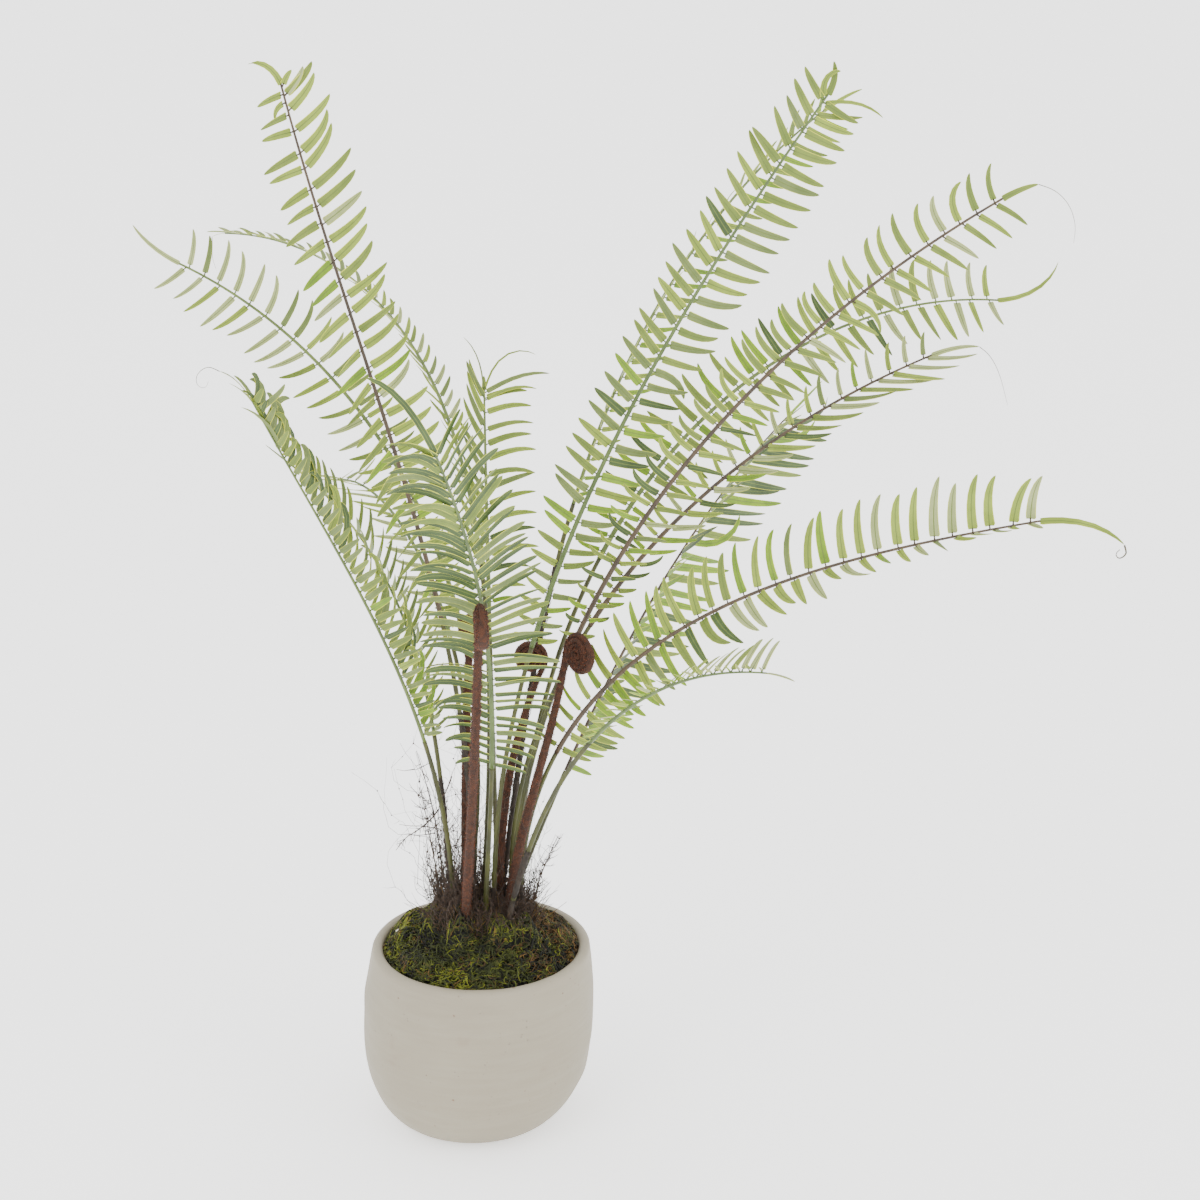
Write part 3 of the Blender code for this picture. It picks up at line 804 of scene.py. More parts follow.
@dataclass(frozen=True)
class Frond:
    """One frond: the source's own sizes, then how its leaflets stand and what they are dressed in.

    Attributes:
        name: Name of the frond in the source.
        limb: Centre line of stem and rib.
        stem: Millimetres from the foot to the first leaflet.
        face: Azimuth and elevation of the way the blade faces.
        fold: Degrees the leaflets rise off the blade, at foot and tip.
        leaflet: Millimetres of the longest leaflet.
        end: The end leaflet's millimetres, and the degrees it turns up and to the right.
        tones: Shares of the blade tones at the foot, in the order of BLADES; they carry painted light too, dark and
            grey-green as painted shade, bright and lime as painted backlight.
        outer_tones: The same at the tip, or nothing where they are the same all along.
        rib: Finish of the rib.
        sleeve: Millimetres of brown sleeve from the foot.
        droop: Share of its length that a leaflet's tip sags.
        angles: Degrees between rib and leaflet: left foot, left tip, right foot, right tip.
        closing: Degrees by which the leaflets close up from the blade's foot to its tip, left and right.
        spacing: Millimetres between neighbouring leaflets on one side.
        half_width: Millimetres of half a leaflet's width.
        lengths: Shares of the longest leaflet: left foot, left tip, right foot, right tip.
        outer: Length of the outer leaflets of the left and the right side, as a share.
        outline: Outline of the leaflets.
        plumes: The long leaflets of the tip.
        threads: Tip threads, each as offsets in millimetres to the right and up.
        thread: Millimetres of their radius.
    """
    name: str
    limb: Limb
    stem: float
    face: tuple[float, float]
    fold: tuple[float, float]
    leaflet: float
    end: tuple[float, float, float]
    tones: tuple[float, ...] = (0.3, 0.4, 0.3, 0.0, 0.0)
    outer_tones: tuple[float, ...] = ()
    rib: Stalk = Stalk.GREEN
    sleeve: float = 0.0
    droop: float = 0.06
    angles: tuple[float, float, float, float] = (72.0, 52.0, 72.0, 52.0)
    closing: tuple[float, float] = (12.0, 12.0)
    spacing: float = 13.6
    half_width: float = 3.0
    lengths: tuple[float, float, float, float] = (1.0, 1.0, 1.0, 1.0)
    outer: tuple[float, float] = (1.0, 1.0)
    outline: Outline = Outline.SWORD
    plumes: tuple[Plume, ...] = ()
    threads: tuple = ()
    thread: float = 0.35


# The blade tones dealt to each frond follow its light: dark and grey-green stand partly for painted shade, bright and
# lime for painted backlight through the leaves.
FRONDS = (
    Frond("tall_left", Limb((-9, -8), 680, (-6, 25, 13), (-156, -156)), 260, (-60, 10), (20, 20), 42, (30, -100, 0),
          (0.4, 0.4, 0.0, 0.0, 0.2), (0.7, 0.2, 0.0, 0.1, 0.0), Stalk.BROWN, 185, angles=(98, 100, 74, 42),
          closing=(28, 30), half_width=3.3, lengths=(0.84, 0.8, 0.95, 0.95), plumes=(Plume(0.98, 1, 26, 2.6, 54, 24),
          Plume(0.97, -1, 16, 2.2, 95, 175), Plume(0.995, 1, 14, 2.2, 34, 60))),
    Frond("centre_front", Limb((4, -20), 530, (9, 38, 39), (-72, -108)), 170, (-90, 35), (8, -14), 50, (78, 58, -56),
          (0.0, 0.0, 0.1, 0.0, 0.0, 0.9), (0.0, 0.15, 0.25, 0.0, 0.0, 0.6), Stalk.PALE, droop=0.1,
          angles=(38, 96, 64, 72), closing=(40, 40), spacing=8.8, half_width=2.9, lengths=(1.08, 1.08, 1.0, 1.0),
          outline=Outline.STRAP),
    Frond("tall_right", Limb((12, -9), 710, (-2, 29, 34), (-6, -6)), 240, (-80, 15), (15, 15), 43, (24, 10, -50),
          (0.1, 0.3, 0.3, 0.0, 0.2, 0.1), (0.2, 0.5, 0.3, 0.0, 0.0), Stalk.PALE, 36, angles=(66, 58, 76, 54),
          closing=(6, -10), spacing=12.6, half_width=3.3, lengths=(0.86, 0.9, 0.78, 0.86),
          plumes=(Plume(0.985, 1, 46, 1.4, 48, 92), Plume(0.965, 1, 34, 2.2, 62, 40),
          Plume(0.99, -1, 28, 2.6, 40, -70))),
    Frond("right_high", Limb((24, -6), 720, (1, 35, 57), (-17, -14)), 250, (-75, 25), (8, 25), 46, (26, -20, 0),
          (0.2, 0.3, 0.0, 0.0, 0.3, 0.2), (0.35, 0.4, 0.1, 0.15, 0.0), Stalk.BROWN, angles=(86, 44, 56, 62),
          closing=(10, -6), half_width=2.9, lengths=(0.66, 0.84, 0.6, 0.76),
          threads=(((0, 0), (12, -4), (22, -14), (27, -28), (26, -40)),)),
    Frond("right_low_long", Limb((33, -11), 610, (-5, 66, 75), (-42, -17)), 165, (-85, 45), (5, 50), 46, (60, -60, 0),
          (0.3, 0.2, 0.0, 0.0, 0.4, 0.1), (0.4, 0.1, 0.1, 0.4, 0.0), Stalk.BROWN, 40, droop=0.05,
          angles=(82, 52, 64, 44), half_width=3.4, lengths=(0.8, 1.0, 1.35, 0.9), outer=(1.0, 0.5),
          threads=(((0, 0), (2, -6), (-3, -10), (-6, -6), (-3, -3)),), thread=0.8),
    Frond("low_left_outer", Limb((-21, -8), 505, (-2, 37, 29), (-131, -132)), 170, (20, 20), (55, 55), 38,
          (36, -40, 0), (0.1, 0.3, 0.3, 0.0, 0.1, 0.2), (0.0, 0.3, 0.5, 0.0, 0.0, 0.2), angles=(60, 52, 70, -30),
          closing=(34, 34), spacing=9.6, half_width=3.3, lengths=(0.86, 0.5, 1.5, 0.9),
          plumes=(Plume(0.86, -1, 50, 2.0, 8, -44), Plume(0.9, 1, 50, 1.9, 12, -36), Plume(0.93, -1, 44, 1.8, 4, -48),
          Plume(0.95, 1, 44, 1.8, 6, -30), Plume(0.97, -1, 34, 2.4, 66, 40)),
          threads=(((0, 0), (-8, 4), (-16, -2), (-16, -10), (-10, -12), (-8, -7)),)),
    Frond("upper_left", Limb((-13, 14), 605, (-10, 9, 66), (179, 172)), 255, (-75, 15), (12, 12), 40, (45, 35, 0),
          (0.3, 0.3, 0.2, 0.2, 0.0), (0.1, 0.0, 0.3, 0.6, 0.0), angles=(76, 54, 94, 66), closing=(4, 38),
          half_width=2.3, lengths=(0.74, 0.86, 0.5, 0.96)),
    Frond("right_mid", Limb((26, 5), 595, (-5, 41, 67), (-1, 2)), 260, (-70, 45), (12, 30), 44, (36, -30, 0),
          (0.2, 0.2, 0.0, 0.0, 0.4, 0.2), (0.2, 0.2, 0.1, 0.5, 0.0), Stalk.BROWN, angles=(80, 58, 44, 20),
          half_width=2.7, lengths=(0.52, 0.6, 0.55, 1.15), threads=(((0, 0), (8, -6), (16, -20), (23, -44)),)),
    Frond("tall_right_behind", Limb((14, 13), 700, (8, 4, 55), (14, 16)), 345, (-20, 20), (25, 25), 40, (34, -20, 0),
          (0.3, 0.1, 0.0, 0.0, 0.6), (0.4, 0.2, 0.0, 0.0, 0.4), Stalk.GREEN, 300, angles=(70, 50, 70, 50),
          half_width=2.4, lengths=(0.85, 0.85, 0.85, 0.85)),
    Frond("right_lowest", Limb((20, -26), 450, (18, 36, 78), (-56, -49)), 235, (0, 85), (-10, 62), 30, (26, -20, 0),
          (0.3, 0.1, 0.0, 0.0, 0.5, 0.1), (0.0, 0.1, 0.2, 0.7, 0.0), Stalk.PALE, 95, angles=(80, 44, 80, 60),
          spacing=10, half_width=2.8, lengths=(0.3, 1.05, 0.8, 0.2)),
    Frond("low_left_inner", Limb((-21, 4), 405, (5, -4, 48), (-169, -170)), 160, (-10, 30), (40, 40), 30, (30, 0, 0),
          (0.1, 0.3, 0.6, 0.0, 0.0), (), Stalk.PALE, 125, spacing=9, half_width=1.9, angles=(56, 30, 56, 30)),
    Frond("right_mid_high", Limb((25, 16), 688, (4, 15, 95), (11, 6)), 305, (-80, 45), (12, 12), 44, (58, 84, 0),
          (0.2, 0.3, 0.0, 0.0, 0.3, 0.2), (0.4, 0.3, 0.1, 0.2, 0.0), angles=(98, 74, 84, 72), closing=(4, 4),
          half_width=2.9, lengths=(0.85, 0.85, 0.85, 0.85)),
    Frond("right_low_steep", Limb((21, 24), 480, (30, 35, 61), (43, 43)), 120, (-20, -10), (30, 30), 46, (50, 0, 0),
          (0.0, 0.1, 0.0, 0.0, 0.6, 0.3), (0.0, 0.3, 0.0, 0.0, 0.4, 0.3), Stalk.BROWN, droop=0.08, half_width=3.4,
          lengths=(0.8, 0.9, 1.2, 1.6), angles=(72, 52, 64, 48), closing=(12, 40), spacing=11.5),
    Frond("centre_back", Limb((13, 25), 425, (18, 26, 30), (96, 93)), 240, (-75, 5), (15, 15), 42, (12, 0, 0),
          (0.3, 0.3, 0.2, 0.0, 0.1, 0.1), (0.3, 0.35, 0.3, 0.05, 0.0), angles=(34, 16, 68, 92), closing=(8, 8),
          half_width=2.6, plumes=(Plume(1.0, 1, 64, 0.9, 18, 122), Plume(0.985, 1, 58, 2.0, 60, 98),
          Plume(0.95, 1, 46, 1.8, 60, 104), Plume(1.0, -1, 50, 0.8, 6, 62), Plume(0.96, -1, 36, 2.0, 26, 8))),
    Frond("back_left", Limb((0, 17), 705, (14, 16, 93), (71, 158)), 280, (0, 75), (20, 20), 25, (14, -30, 0),
          (0.3, 0.2, 0.2, 0.3, 0.0), (), angles=(40, 20, 40, 20), spacing=11, half_width=2.0,
          threads=(((0, 0), (0, -8), (-1, -18), (2, -28)),)),
    Frond("back_left_short", Limb((-8, 25), 445, (-6, 0, 109), (128, 124)), 230, (-60, 60), (15, 15), 32,
          (26, -10, 0), (0.3, 0.3, 0.0, 0.4, 0.0), (), Stalk.PALE, half_width=2.4),
)


@dataclass
class Growth:
    """A part of the plant with small irregularities of its own.

    Attributes:
        seed: Seed of the irregularities.
    """
    seed: int

    def __post_init__(self) -> None:
        """Start the source of the irregularities."""
        self.rng = np.random.default_rng(self.seed)


@dataclass
class FrondBlade(Growth):
    """The leafy part of one frond: rib, pegs, leaflets, end leaflet and tip threads.

    Attributes:
        frond: The frond's sizes.
        peg: Length of the peg that carries a leaflet.
        rib_radii: Radii of the rib at the first leaflet and at the tip.
        rib_sides: Corners of the rib's rings.
        camber: Depth of a leaflet's channel and margins.
        unruly: Share of the leaflets whose tips curl away.
    """
    # Ranges and spreads of what varies from leaflet to leaflet, as shares or degrees.
    PLACES, LENGTHS, WIDTHS, SAGS, WILD_TURNS = (-0.13, 0.13), (0.93, 1.04), (0.92, 1.06), (0.3, 1.7), (40, 110)
    START, CURL, FOLD, BOW, TWIST = (0, 3.0), (1.0, 0.25), (0, 4), (0, 0.05), ((0, 8), (0, 15))
    PEG_RADII = np.array((0.65, 0.5)) * MM
    RIB_RING = 6 * MM

    frond: Frond
    peg: float = 2.3 * MM
    rib_radii: tuple[float, float] = (1.75 * MM, 0.7 * MM)
    rib_sides: int = 8
    camber: float = 0.6 * MM
    unruly: float = 0.018

    def __post_init__(self) -> None:
        """Start the heap, and the centre line with the distance of the first leaflet."""
        super().__post_init__()
        self.path = Path(self.frond.limb)
        self.reach = self.frond.stem * MM + SEAT_GAP, self.path.length
        self.heap = Heap((*BLADES, Leaf.MARGIN, Leaf.MIDRIB, Stalk.PEG, self.frond.rib, Stalk.THREAD))

    def leaflets(self) -> None:
        """Add the leaflets of both sides, and the long ones of the tip."""
        frond, rng = self.frond, self.rng
        count = round((self.path.length / MM - frond.stem) / frond.spacing)
        for column, sign in enumerate((-1, 1)):
            place = (np.arange(count) + 0.5 + rng.uniform(*self.PLACES, count)) / count
            outside = np.clip(place * 2 - 0.8, 0, 1)
            share = np.minimum(np.minimum(1.0, 0.5 + 2.0 * place), 0.8 + 1.6 * (1 - place))
            share = share * np.interp(place, (0, 1), frond.lengths[2 * column:2 * column + 2])
            share = share * (1 + (frond.outer[column] - 1) * outside) * rng.uniform(*self.LENGTHS, count)
            foot, tip = frond.angles[2 * column:2 * column + 2]
            start = foot + frond.closing[column] * (0.5 - place) + rng.normal(*self.START, count)
            finish = start + (tip - foot) * rng.normal(*self.CURL, count)
            wild = rng.uniform(0, 1, count) < self.unruly + (1 - frond.outer[column]) * outside
            finish = np.where(wild, start + rng.choice((-1, 1), count) * rng.uniform(*self.WILD_TURNS, count), finish)
            width = frond.half_width * rng.uniform(*self.WIDTHS, count) * np.clip(share * 1.2, 0.7, 1.0)
            self.lay(place, sign, frond.leaflet * share, width, start, finish)
        for plume in frond.plumes:
            values = [np.array([value]) for value in (plume.length, plume.half_width, plume.foot, plume.tip)]
            self.lay(np.array([plume.place]), plume.sign, *values)

    def lay(self, place: Array, sign: int, length: Array, width: Array, start: Array, finish: Array) -> None:
        """Add leaflets to one side of the rib, each on its peg.

        Args:
            place: Shares of the blade's length where they leave the rib.
            sign: The side, -1 or 1.
            length: Their millimetres, peg included.
            width: Millimetres of half their width.
            start: Degrees between rib and leaflet at the leaflet's foot.
            finish: The same at its tip.
        """
        frond, rng, count = self.frond, self.rng, len(place)
        root, tangent = self.path.at(between(self.reach, place))
        side, up = cross_axes(tangent, facing(*frond.face))
        fold = np.radians(between(frond.fold, place) + rng.normal(*self.FOLD, count))[:, None]
        outward = side * (sign * np.cos(fold)) + up * np.sin(fold)
        thick = up * np.cos(fold) - side * (sign * np.sin(fold))
        angle = np.radians(start[:, None] + (finish - start)[:, None] * LEAFLET_ROWS ** 1.4)[..., None]
        along = tangent[:, None] * np.cos(angle) + outward[:, None] * np.sin(angle)
        length = length * MM - self.peg
        strides = along[:, :-1] * np.diff(LEAFLET_ROWS)[:, None] * length[:, None, None]
        foot = root + along[:, 0] * self.peg + outward * between(self.rib_radii, place)[:, None] * 0.6
        centres = foot[:, None] + walk(strides)
        bow = (length[:, None] * LEAFLET_ROWS ** 2)[..., None]
        centres = centres - np.array((0.0, 0.0, frond.droop)) * rng.uniform(*self.SAGS, (count, 1, 1)) * bow
        centres = centres + thick[:, None] * rng.normal(*self.BOW, (count, 1, 1)) * bow
        line = unit(np.gradient(centres, axis=1))
        normal = unit(thick[:, None] - line * np.sum(thick[:, None] * line, axis=-1, keepdims=True))
        across = unit(np.cross(line, normal)) * -sign
        level, twist = (rng.normal(*spread, (count, 1)) for spread in self.TWIST)
        turn = np.radians(level + twist * LEAFLET_ROWS)[..., None]
        across, normal = across * np.cos(turn) + normal * np.sin(turn), normal * np.cos(turn) - across * np.sin(turn)
        half = np.broadcast_to(width[:, None] * MM, (count, len(LEAFLET_ROWS)))
        leaflet = frond.outline.value
        points = leaflet.bend(centres, across, normal, half, np.full(half.shape, self.camber))
        # Blade tones from the frond's shares, partly painted shade and painted backlight; the margin strips take the
        # painted rim highlight.
        inner, outer = (rng.choice(len(tones), count, p=np.array(tones) / sum(tones))
                        for tones in (frond.tones, frond.outer_tones or frond.tones))
        blades = np.where(rng.uniform(0.15, 0.85, count) < place, outer, inner)
        slots = np.stack((np.full(count, MARGIN_SLOT), blades, np.full(count, MIDRIB_SLOT)), -1)
        self.heap.add(leaflet, points, slots, turned=sign > 0)
        ends = np.stack((root, foot + along[:, 0] * 0.5 * MM), axis=1)
        peg_side = np.repeat(thick[:, None], 2, axis=1)
        peg_up = unit(np.cross(np.repeat(along[:, :1], 2, axis=1), peg_side))
        radii = np.broadcast_to(self.PEG_RADII, (count, 2))
        self.heap.rods((ends, peg_side, peg_up), radii, radii, 4, PEG_SLOT if frond.rib is Stalk.BROWN else RIB_SLOT)

    def rib(self) -> None:
        """Add the rib, a slim rod that tapers to the tip."""
        count = max(8, round((self.reach[1] - self.reach[0]) / self.RIB_RING))
        share = np.linspace(0, 1, count)
        centres, tangents = self.path.at(between(self.reach, share))
        side, up = cross_axes(tangents, facing(*self.frond.face))
        radius = between(self.rib_radii, share)
        self.heap.rods((centres, side, -up), radius * 1.15, radius * 0.85, self.rib_sides, RIB_SLOT)

    def tip(self) -> None:
        """Add the end leaflet and the fine threads that hang from its tip."""
        frond = self.frond
        point, tangent = self.path.at(np.array([self.path.length]))
        side, _ = cross_axes(tangent, facing(*frond.face))
        rise = unit(UPWARD - tangent * tangent[:, 2:])
        bent = 0.1 + 0.9 * LEAFLET_ROWS[:, None] ** 1.2
        turn, sway = np.radians(frond.end[1]) * bent, np.radians(frond.end[2]) * bent
        along = unit((tangent * np.cos(turn) + rise * np.sin(turn)) * np.cos(sway) + side * np.sin(sway))
        strides = np.diff(LEAFLET_ROWS)[:, None] * frond.end[0] * MM
        centres = point + walk(along[:-1] * strides)
        across = unit(side - along * np.sum(side * along, axis=1, keepdims=True))
        normal = unit(np.cross(across, along))
        half = np.full((1, len(LEAFLET_ROWS)), frond.half_width * 0.75 * MM)
        leaflet = frond.outline.value
        points = leaflet.bend(centres[None], across[None], normal[None], half, half * 0.2)
        # The end leaflet takes the frond's main tone, and the painted rim highlight on its margins.
        tone = int(np.argmax(frond.outer_tones or frond.tones))
        self.heap.add(leaflet, points, np.array([[MARGIN_SLOT, tone, MIDRIB_SLOT]]))
        for line in frond.threads:
            places = np.array([(right * MM, 0.0, up * MM) for right, up in line])
            self.heap.fibres([centres[-1] + places], frond.thread * MM, THREAD_SLOT, stations=18)

    def build(self) -> None:
        """Make the blade as one piece, in place of the source's frond."""
        self.leaflets()
        self.rib()
        self.tip()
        self.heap.piece(f"blade_{self.frond.name}", "frond", (f"frond_{self.frond.name}",))


@dataclass
class Stem(Growth):
    """The bare stem of a frond, olive and lightly ridged, with a scaly brown sleeve at its foot.

    Attributes:
        frond: The frond it carries.
        foot_radius: Radius at the foot.
        top_radius: Radius where the blade starts.
        ring: Distance between rings.
        sides: Corners of each ring.
    """
    # Extra radius of the sleeve; how ragged the bare stem and the sleeve are; sizes of the dry scales.
    SLEEVE, RAGGED = 0.3 * MM, (0.02, 0.06)
    SCALES_PER_MM, SCALE_REACH, SCALE_LENGTHS, SCALE_RADIUS = 1.6, 30.0, (2.5, 7.0), 0.22 * MM

    frond: Frond
    foot_radius: float = 2.2 * MM
    top_radius: float = 1.7 * MM
    ring: float = 4 * MM
    sides: int = 10

    def __post_init__(self) -> None:
        """Start the heap and the centre line."""
        super().__post_init__()
        self.path = Path(self.frond.limb)
        self.heap = Heap((Stalk.OLIVE, Stalk.SLEEVE))

    def rod(self, top: float, swell: float, slot: int, ragged: float) -> None:
        """Add one length of the stem, from its foot up.

        Args:
            top: Distance from the foot where it ends.
            swell: Extra radius.
            slot: Finish number.
            ragged: How much the radius varies from ring to ring, as a share.
        """
        count = max(3, round(top / self.ring))
        marks = np.linspace(0.0, top, count)
        centres, tangents = self.path.at(marks)
        side, up = cross_axes(tangents, FRONT)
        radius = self.foot_radius + (self.top_radius - self.foot_radius) * marks / (self.frond.stem * MM) + swell
        radius = radius * (1 + self.rng.normal(0, ragged, count))
        if swell:
            radius[-1] = radius[-1] - swell * 0.8
        wide = radius * (1 + self.rng.normal(0, ragged, count))
        self.heap.rods((centres, side, -up), wide, radius, self.sides, slot)

    def scales(self) -> None:
        """Add the thin dry scales that stand off the stem's foot."""
        rng = self.rng
        reach = max(self.frond.sleeve, self.SCALE_REACH) * MM
        count = int(reach / MM * self.SCALES_PER_MM)
        centres, tangents = self.path.at(rng.uniform(0, reach, count))
        side, up = cross_axes(tangents, FRONT)
        turn = rng.uniform(0, 2 * np.pi, count)[:, None]
        out = side * np.cos(turn) + up * np.sin(turn)
        foot = centres + out * self.foot_radius
        length = rng.uniform(*self.SCALE_LENGTHS, count)[:, None] * MM
        tip = foot + (tangents * 0.9 + out * rng.uniform(0.05, 0.4, count)[:, None]) * length
        middle = (foot + tip) / 2 + out * 0.3 * MM
        self.heap.fibres(np.stack((foot, middle, tip), axis=1), self.SCALE_RADIUS, 1)

    def build(self) -> None:
        """Make the stem as one piece, in place of the source's stem."""
        top = self.frond.stem * MM
        self.rod(top, 0.0, 0, self.RAGGED[0])
        if self.frond.sleeve:
            self.rod(min(self.frond.sleeve * MM, top), self.SLEEVE, 1, self.RAGGED[1])
        self.scales()
        self.heap.piece(f"stalk_{self.frond.name}", "stem", (f"stem_{self.frond.name}",))


# Croziers

@dataclass(frozen=True)
class Crozier:
    """One coiled young frond: the source's sizes.

    Attributes:
        name: Name in the source.
        limb: Centre line of the stalk.
        coil_radius: Millimetres from the coil's axis to its outside.
        coil_depth: Millimetres across the coil along its axis.
        curl_heading: Compass direction that the tip curls towards.
    """
    name: str
    limb: Limb
    coil_radius: float
    coil_depth: float
    curl_heading: float


CROZIERS = (
    Crozier("front", Limb((-12, -24), 357, (24, 30, 23), (-79, -83)), 17, 10, -82),
    Crozier("behind_left", Limb((-12, 3), 250, (1, 0, 5), (23, 23)), 10, 9, -112),
    Crozier("centre", Limb((13, 2), 222, (2, 4, 25), (6, 6)), 14, 8, 178),
    Crozier("right", Limb((22, -16), 258, (4, 26, 9), (-33, -33)), 17, 9, -52),
)


class Spine(NamedTuple):
    """The centre line of a rod, its side and up axes, half widths and half thicknesses."""
    centres: Array
    side: Array
    up: Array
    wide: Array
    thick: Array


@dataclass
class FurledFrond(Growth):
    """A furry crozier: stalk, rolled tip, furled leaflet buds and a coat of short hairs.

    Attributes:
        crozier: Its sizes.
        foot_radius: Radius of the stalk's foot.
        neck_radius: Radius below the coil.
        pitch: Distance between the coil's turns.
        eye: Radius of the innermost bend.
        slim: Share of the full section that lies under the hairs.
        hairs: Hairs for each millimetre of length.
        stalk_rings: Rings along the stalk.
        turn_rings: Rings for each turn of the coil.
        sides: Corners of each ring.
    """
    # Sizes of the buds and of the hairs, the latter in millimetres; hairs between the coil's turns are shorter.
    BUD_LENGTH, BUD_RADII = 1.6 * MM, np.array((0.7, 1.0, 0.85, 0.3)) * MM
    HAIR_LENGTHS, HAIR_RADIUS, HAIR_TONES, INNER_HAIRS = (0.7, 1.7), 0.09 * MM, (1, 1, 2), 0.35

    crozier: Crozier
    foot_radius: float = 4.0 * MM
    neck_radius: float = 3.1 * MM
    pitch: float = 3.5 * MM
    eye: float = 1.5 * MM
    slim: float = 0.93
    hairs: float = 22.0
    stalk_rings: int = 50
    turn_rings: int = 40
    sides: int = 14

    def spine(self) -> Spine:
        """Trace the crozier from its foot to the middle of the coil.

        Returns:
            Its spine.
        """
        crozier = self.crozier
        path = Path(crozier.limb)
        radius = crozier.coil_radius * MM - self.pitch / 2
        end, tangent = (values[0] for values in path.at(np.array([path.length])))
        curl = facing(crozier.curl_heading, 0.0)
        curl = unit(curl - tangent * curl.dot(tangent))
        axle = unit(np.cross(tangent, curl))
        share = np.linspace(0, 1, self.stalk_rings, endpoint=False)
        stalk, along = path.at(path.length * share)
        side = unit(axle - along * (along @ axle)[:, None])
        up = np.cross(along, side)
        wide = between((self.foot_radius, self.neck_radius), share)
        thick = between((self.foot_radius, self.pitch / 2 + 0.3 * MM), share ** 2)
        turns = (radius - self.eye) / self.pitch
        step = np.linspace(0, 1, round(turns * self.turn_rings))
        angle = 2 * np.pi * turns * step
        outward = -curl * np.cos(angle)[:, None] + tangent * np.sin(angle)[:, None]
        reach = radius - self.pitch * angle / (2 * np.pi)
        coil = end + curl * radius + outward * reach[:, None]
        depth = np.maximum(crozier.coil_depth * MM / 2 * np.minimum(1, 0.45 + 3 * step) * (1 - 0.35 * step),
                           self.neck_radius)
        depth = depth * (1 - 0.42 * np.sin(angle) ** 2 * np.clip(1 - angle / (2 * np.pi), 0, 1) ** 0.5)
        coil_thick = (self.pitch / 2 + 0.6 * MM) * (1 - 0.12 * step)
        pairs = ((stalk, coil), (side, np.broadcast_to(axle, coil.shape)), (up, outward), (wide, depth),
                 (thick, coil_thick))
        return Spine(*(np.concatenate(pair) for pair in pairs))

    def build(self) -> None:
        """Make the crozier as one piece, in place of the source's crozier."""
        heap = Heap((Fuzz.SKIN, Fuzz.DARK_HAIR, Fuzz.RUST_HAIR))
        spine = self.spine()
        lumpy = 1 + self.rng.normal(0, 0.03, len(spine.centres))
        spine = spine._replace(wide=spine.wide * lumpy * self.slim, thick=spine.thick * lumpy * self.slim)
        heap.rods(spine[:3], spine.wide, spine.thick, self.sides, 0)
        self.buds(heap, spine)
        self.coat(heap, spine)
        heap.piece(f"furled_{self.crozier.name}", "crozier", (f"crozier_{self.crozier.name}",))

    def buds(self, heap: Heap, spine: Spine) -> None:
        """Add the furled leaflet buds: two rows of small knobs along the upper stalk and the coil.

        Args:
            heap: Where they go.
            spine: The crozier's spine.
        """
        first = int(self.stalk_rings * 0.45)
        picks = np.concatenate((np.arange(first, self.stalk_rings, 3),
                                np.arange(self.stalk_rings, len(spine.centres), 2)))
        along = unit(np.gradient(spine.centres, axis=0))[picks]
        for sign in (-1, 1):
            out = spine.side[picks] * sign
            foot = spine.centres[picks] + out * (spine.wide[picks] * 0.85)[:, None]
            length = (self.BUD_LENGTH * np.where(picks < self.stalk_rings, 1.0, 0.7))[:, None]
            tip = foot + (out * 0.75 + along * 0.65) * length
            lines = foot[:, None] + (tip - foot)[:, None] * np.linspace(0, 1, 4)[None, :, None]
            reference = np.repeat(spine.up[picks][:, None], 4, axis=1)
            direction = unit(np.gradient(lines, axis=1))
            across = unit(np.cross(reference, direction))
            radii = np.broadcast_to(self.BUD_RADII, lines.shape[:2])
            heap.rods((lines, across, np.cross(direction, across)), radii, radii * 0.9, 5, 0)

    def coat(self, heap: Heap, spine: Spine) -> None:
        """Add the coat of short hairs that lean towards the tip.

        Args:
            heap: Where they go.
            spine: The crozier's spine.
        """
        rng, centres = self.rng, spine.centres
        marks = marks_of(centres)
        count = int(marks[-1] / MM * self.hairs)
        place = np.interp(rng.uniform(0, marks[-1], count), marks, np.arange(len(centres)))
        low = np.minimum(place.astype(int), len(centres) - 2)
        share = (place - low)[:, None]
        turn = rng.uniform(0, 2 * np.pi, count)[:, None]
        values = (*spine[:3], spine.wide[:, None], spine.thick[:, None], np.gradient(centres, axis=0))
        middle, across, rise, wide, thick, along = (
            value[low] * (1 - share) + value[low + 1] * share for value in values)
        skin = middle + across * wide * np.cos(turn) + rise * thick * np.sin(turn)
        out = unit(across * np.cos(turn) / wide + rise * np.sin(turn) / thick)
        length = rng.uniform(*self.HAIR_LENGTHS, count)[:, None] * MM
        inside_coil = (place > self.stalk_rings)[:, None] & (np.abs(np.cos(turn)) < 0.75)
        length = np.where(inside_coil, length * self.INNER_HAIRS, length)
        aim = unit(out + unit(along) * rng.uniform(0.2, 1.0, count)[:, None] + rng.normal(0, 0.25, (count, 3)))
        lines = np.stack((skin - out * 0.2 * MM, skin + aim * length), axis=1)
        heap.fibres(lines, self.HAIR_RADIUS, rng.choice(self.HAIR_TONES, count), taper=0.3)


# Moss, crown and roots

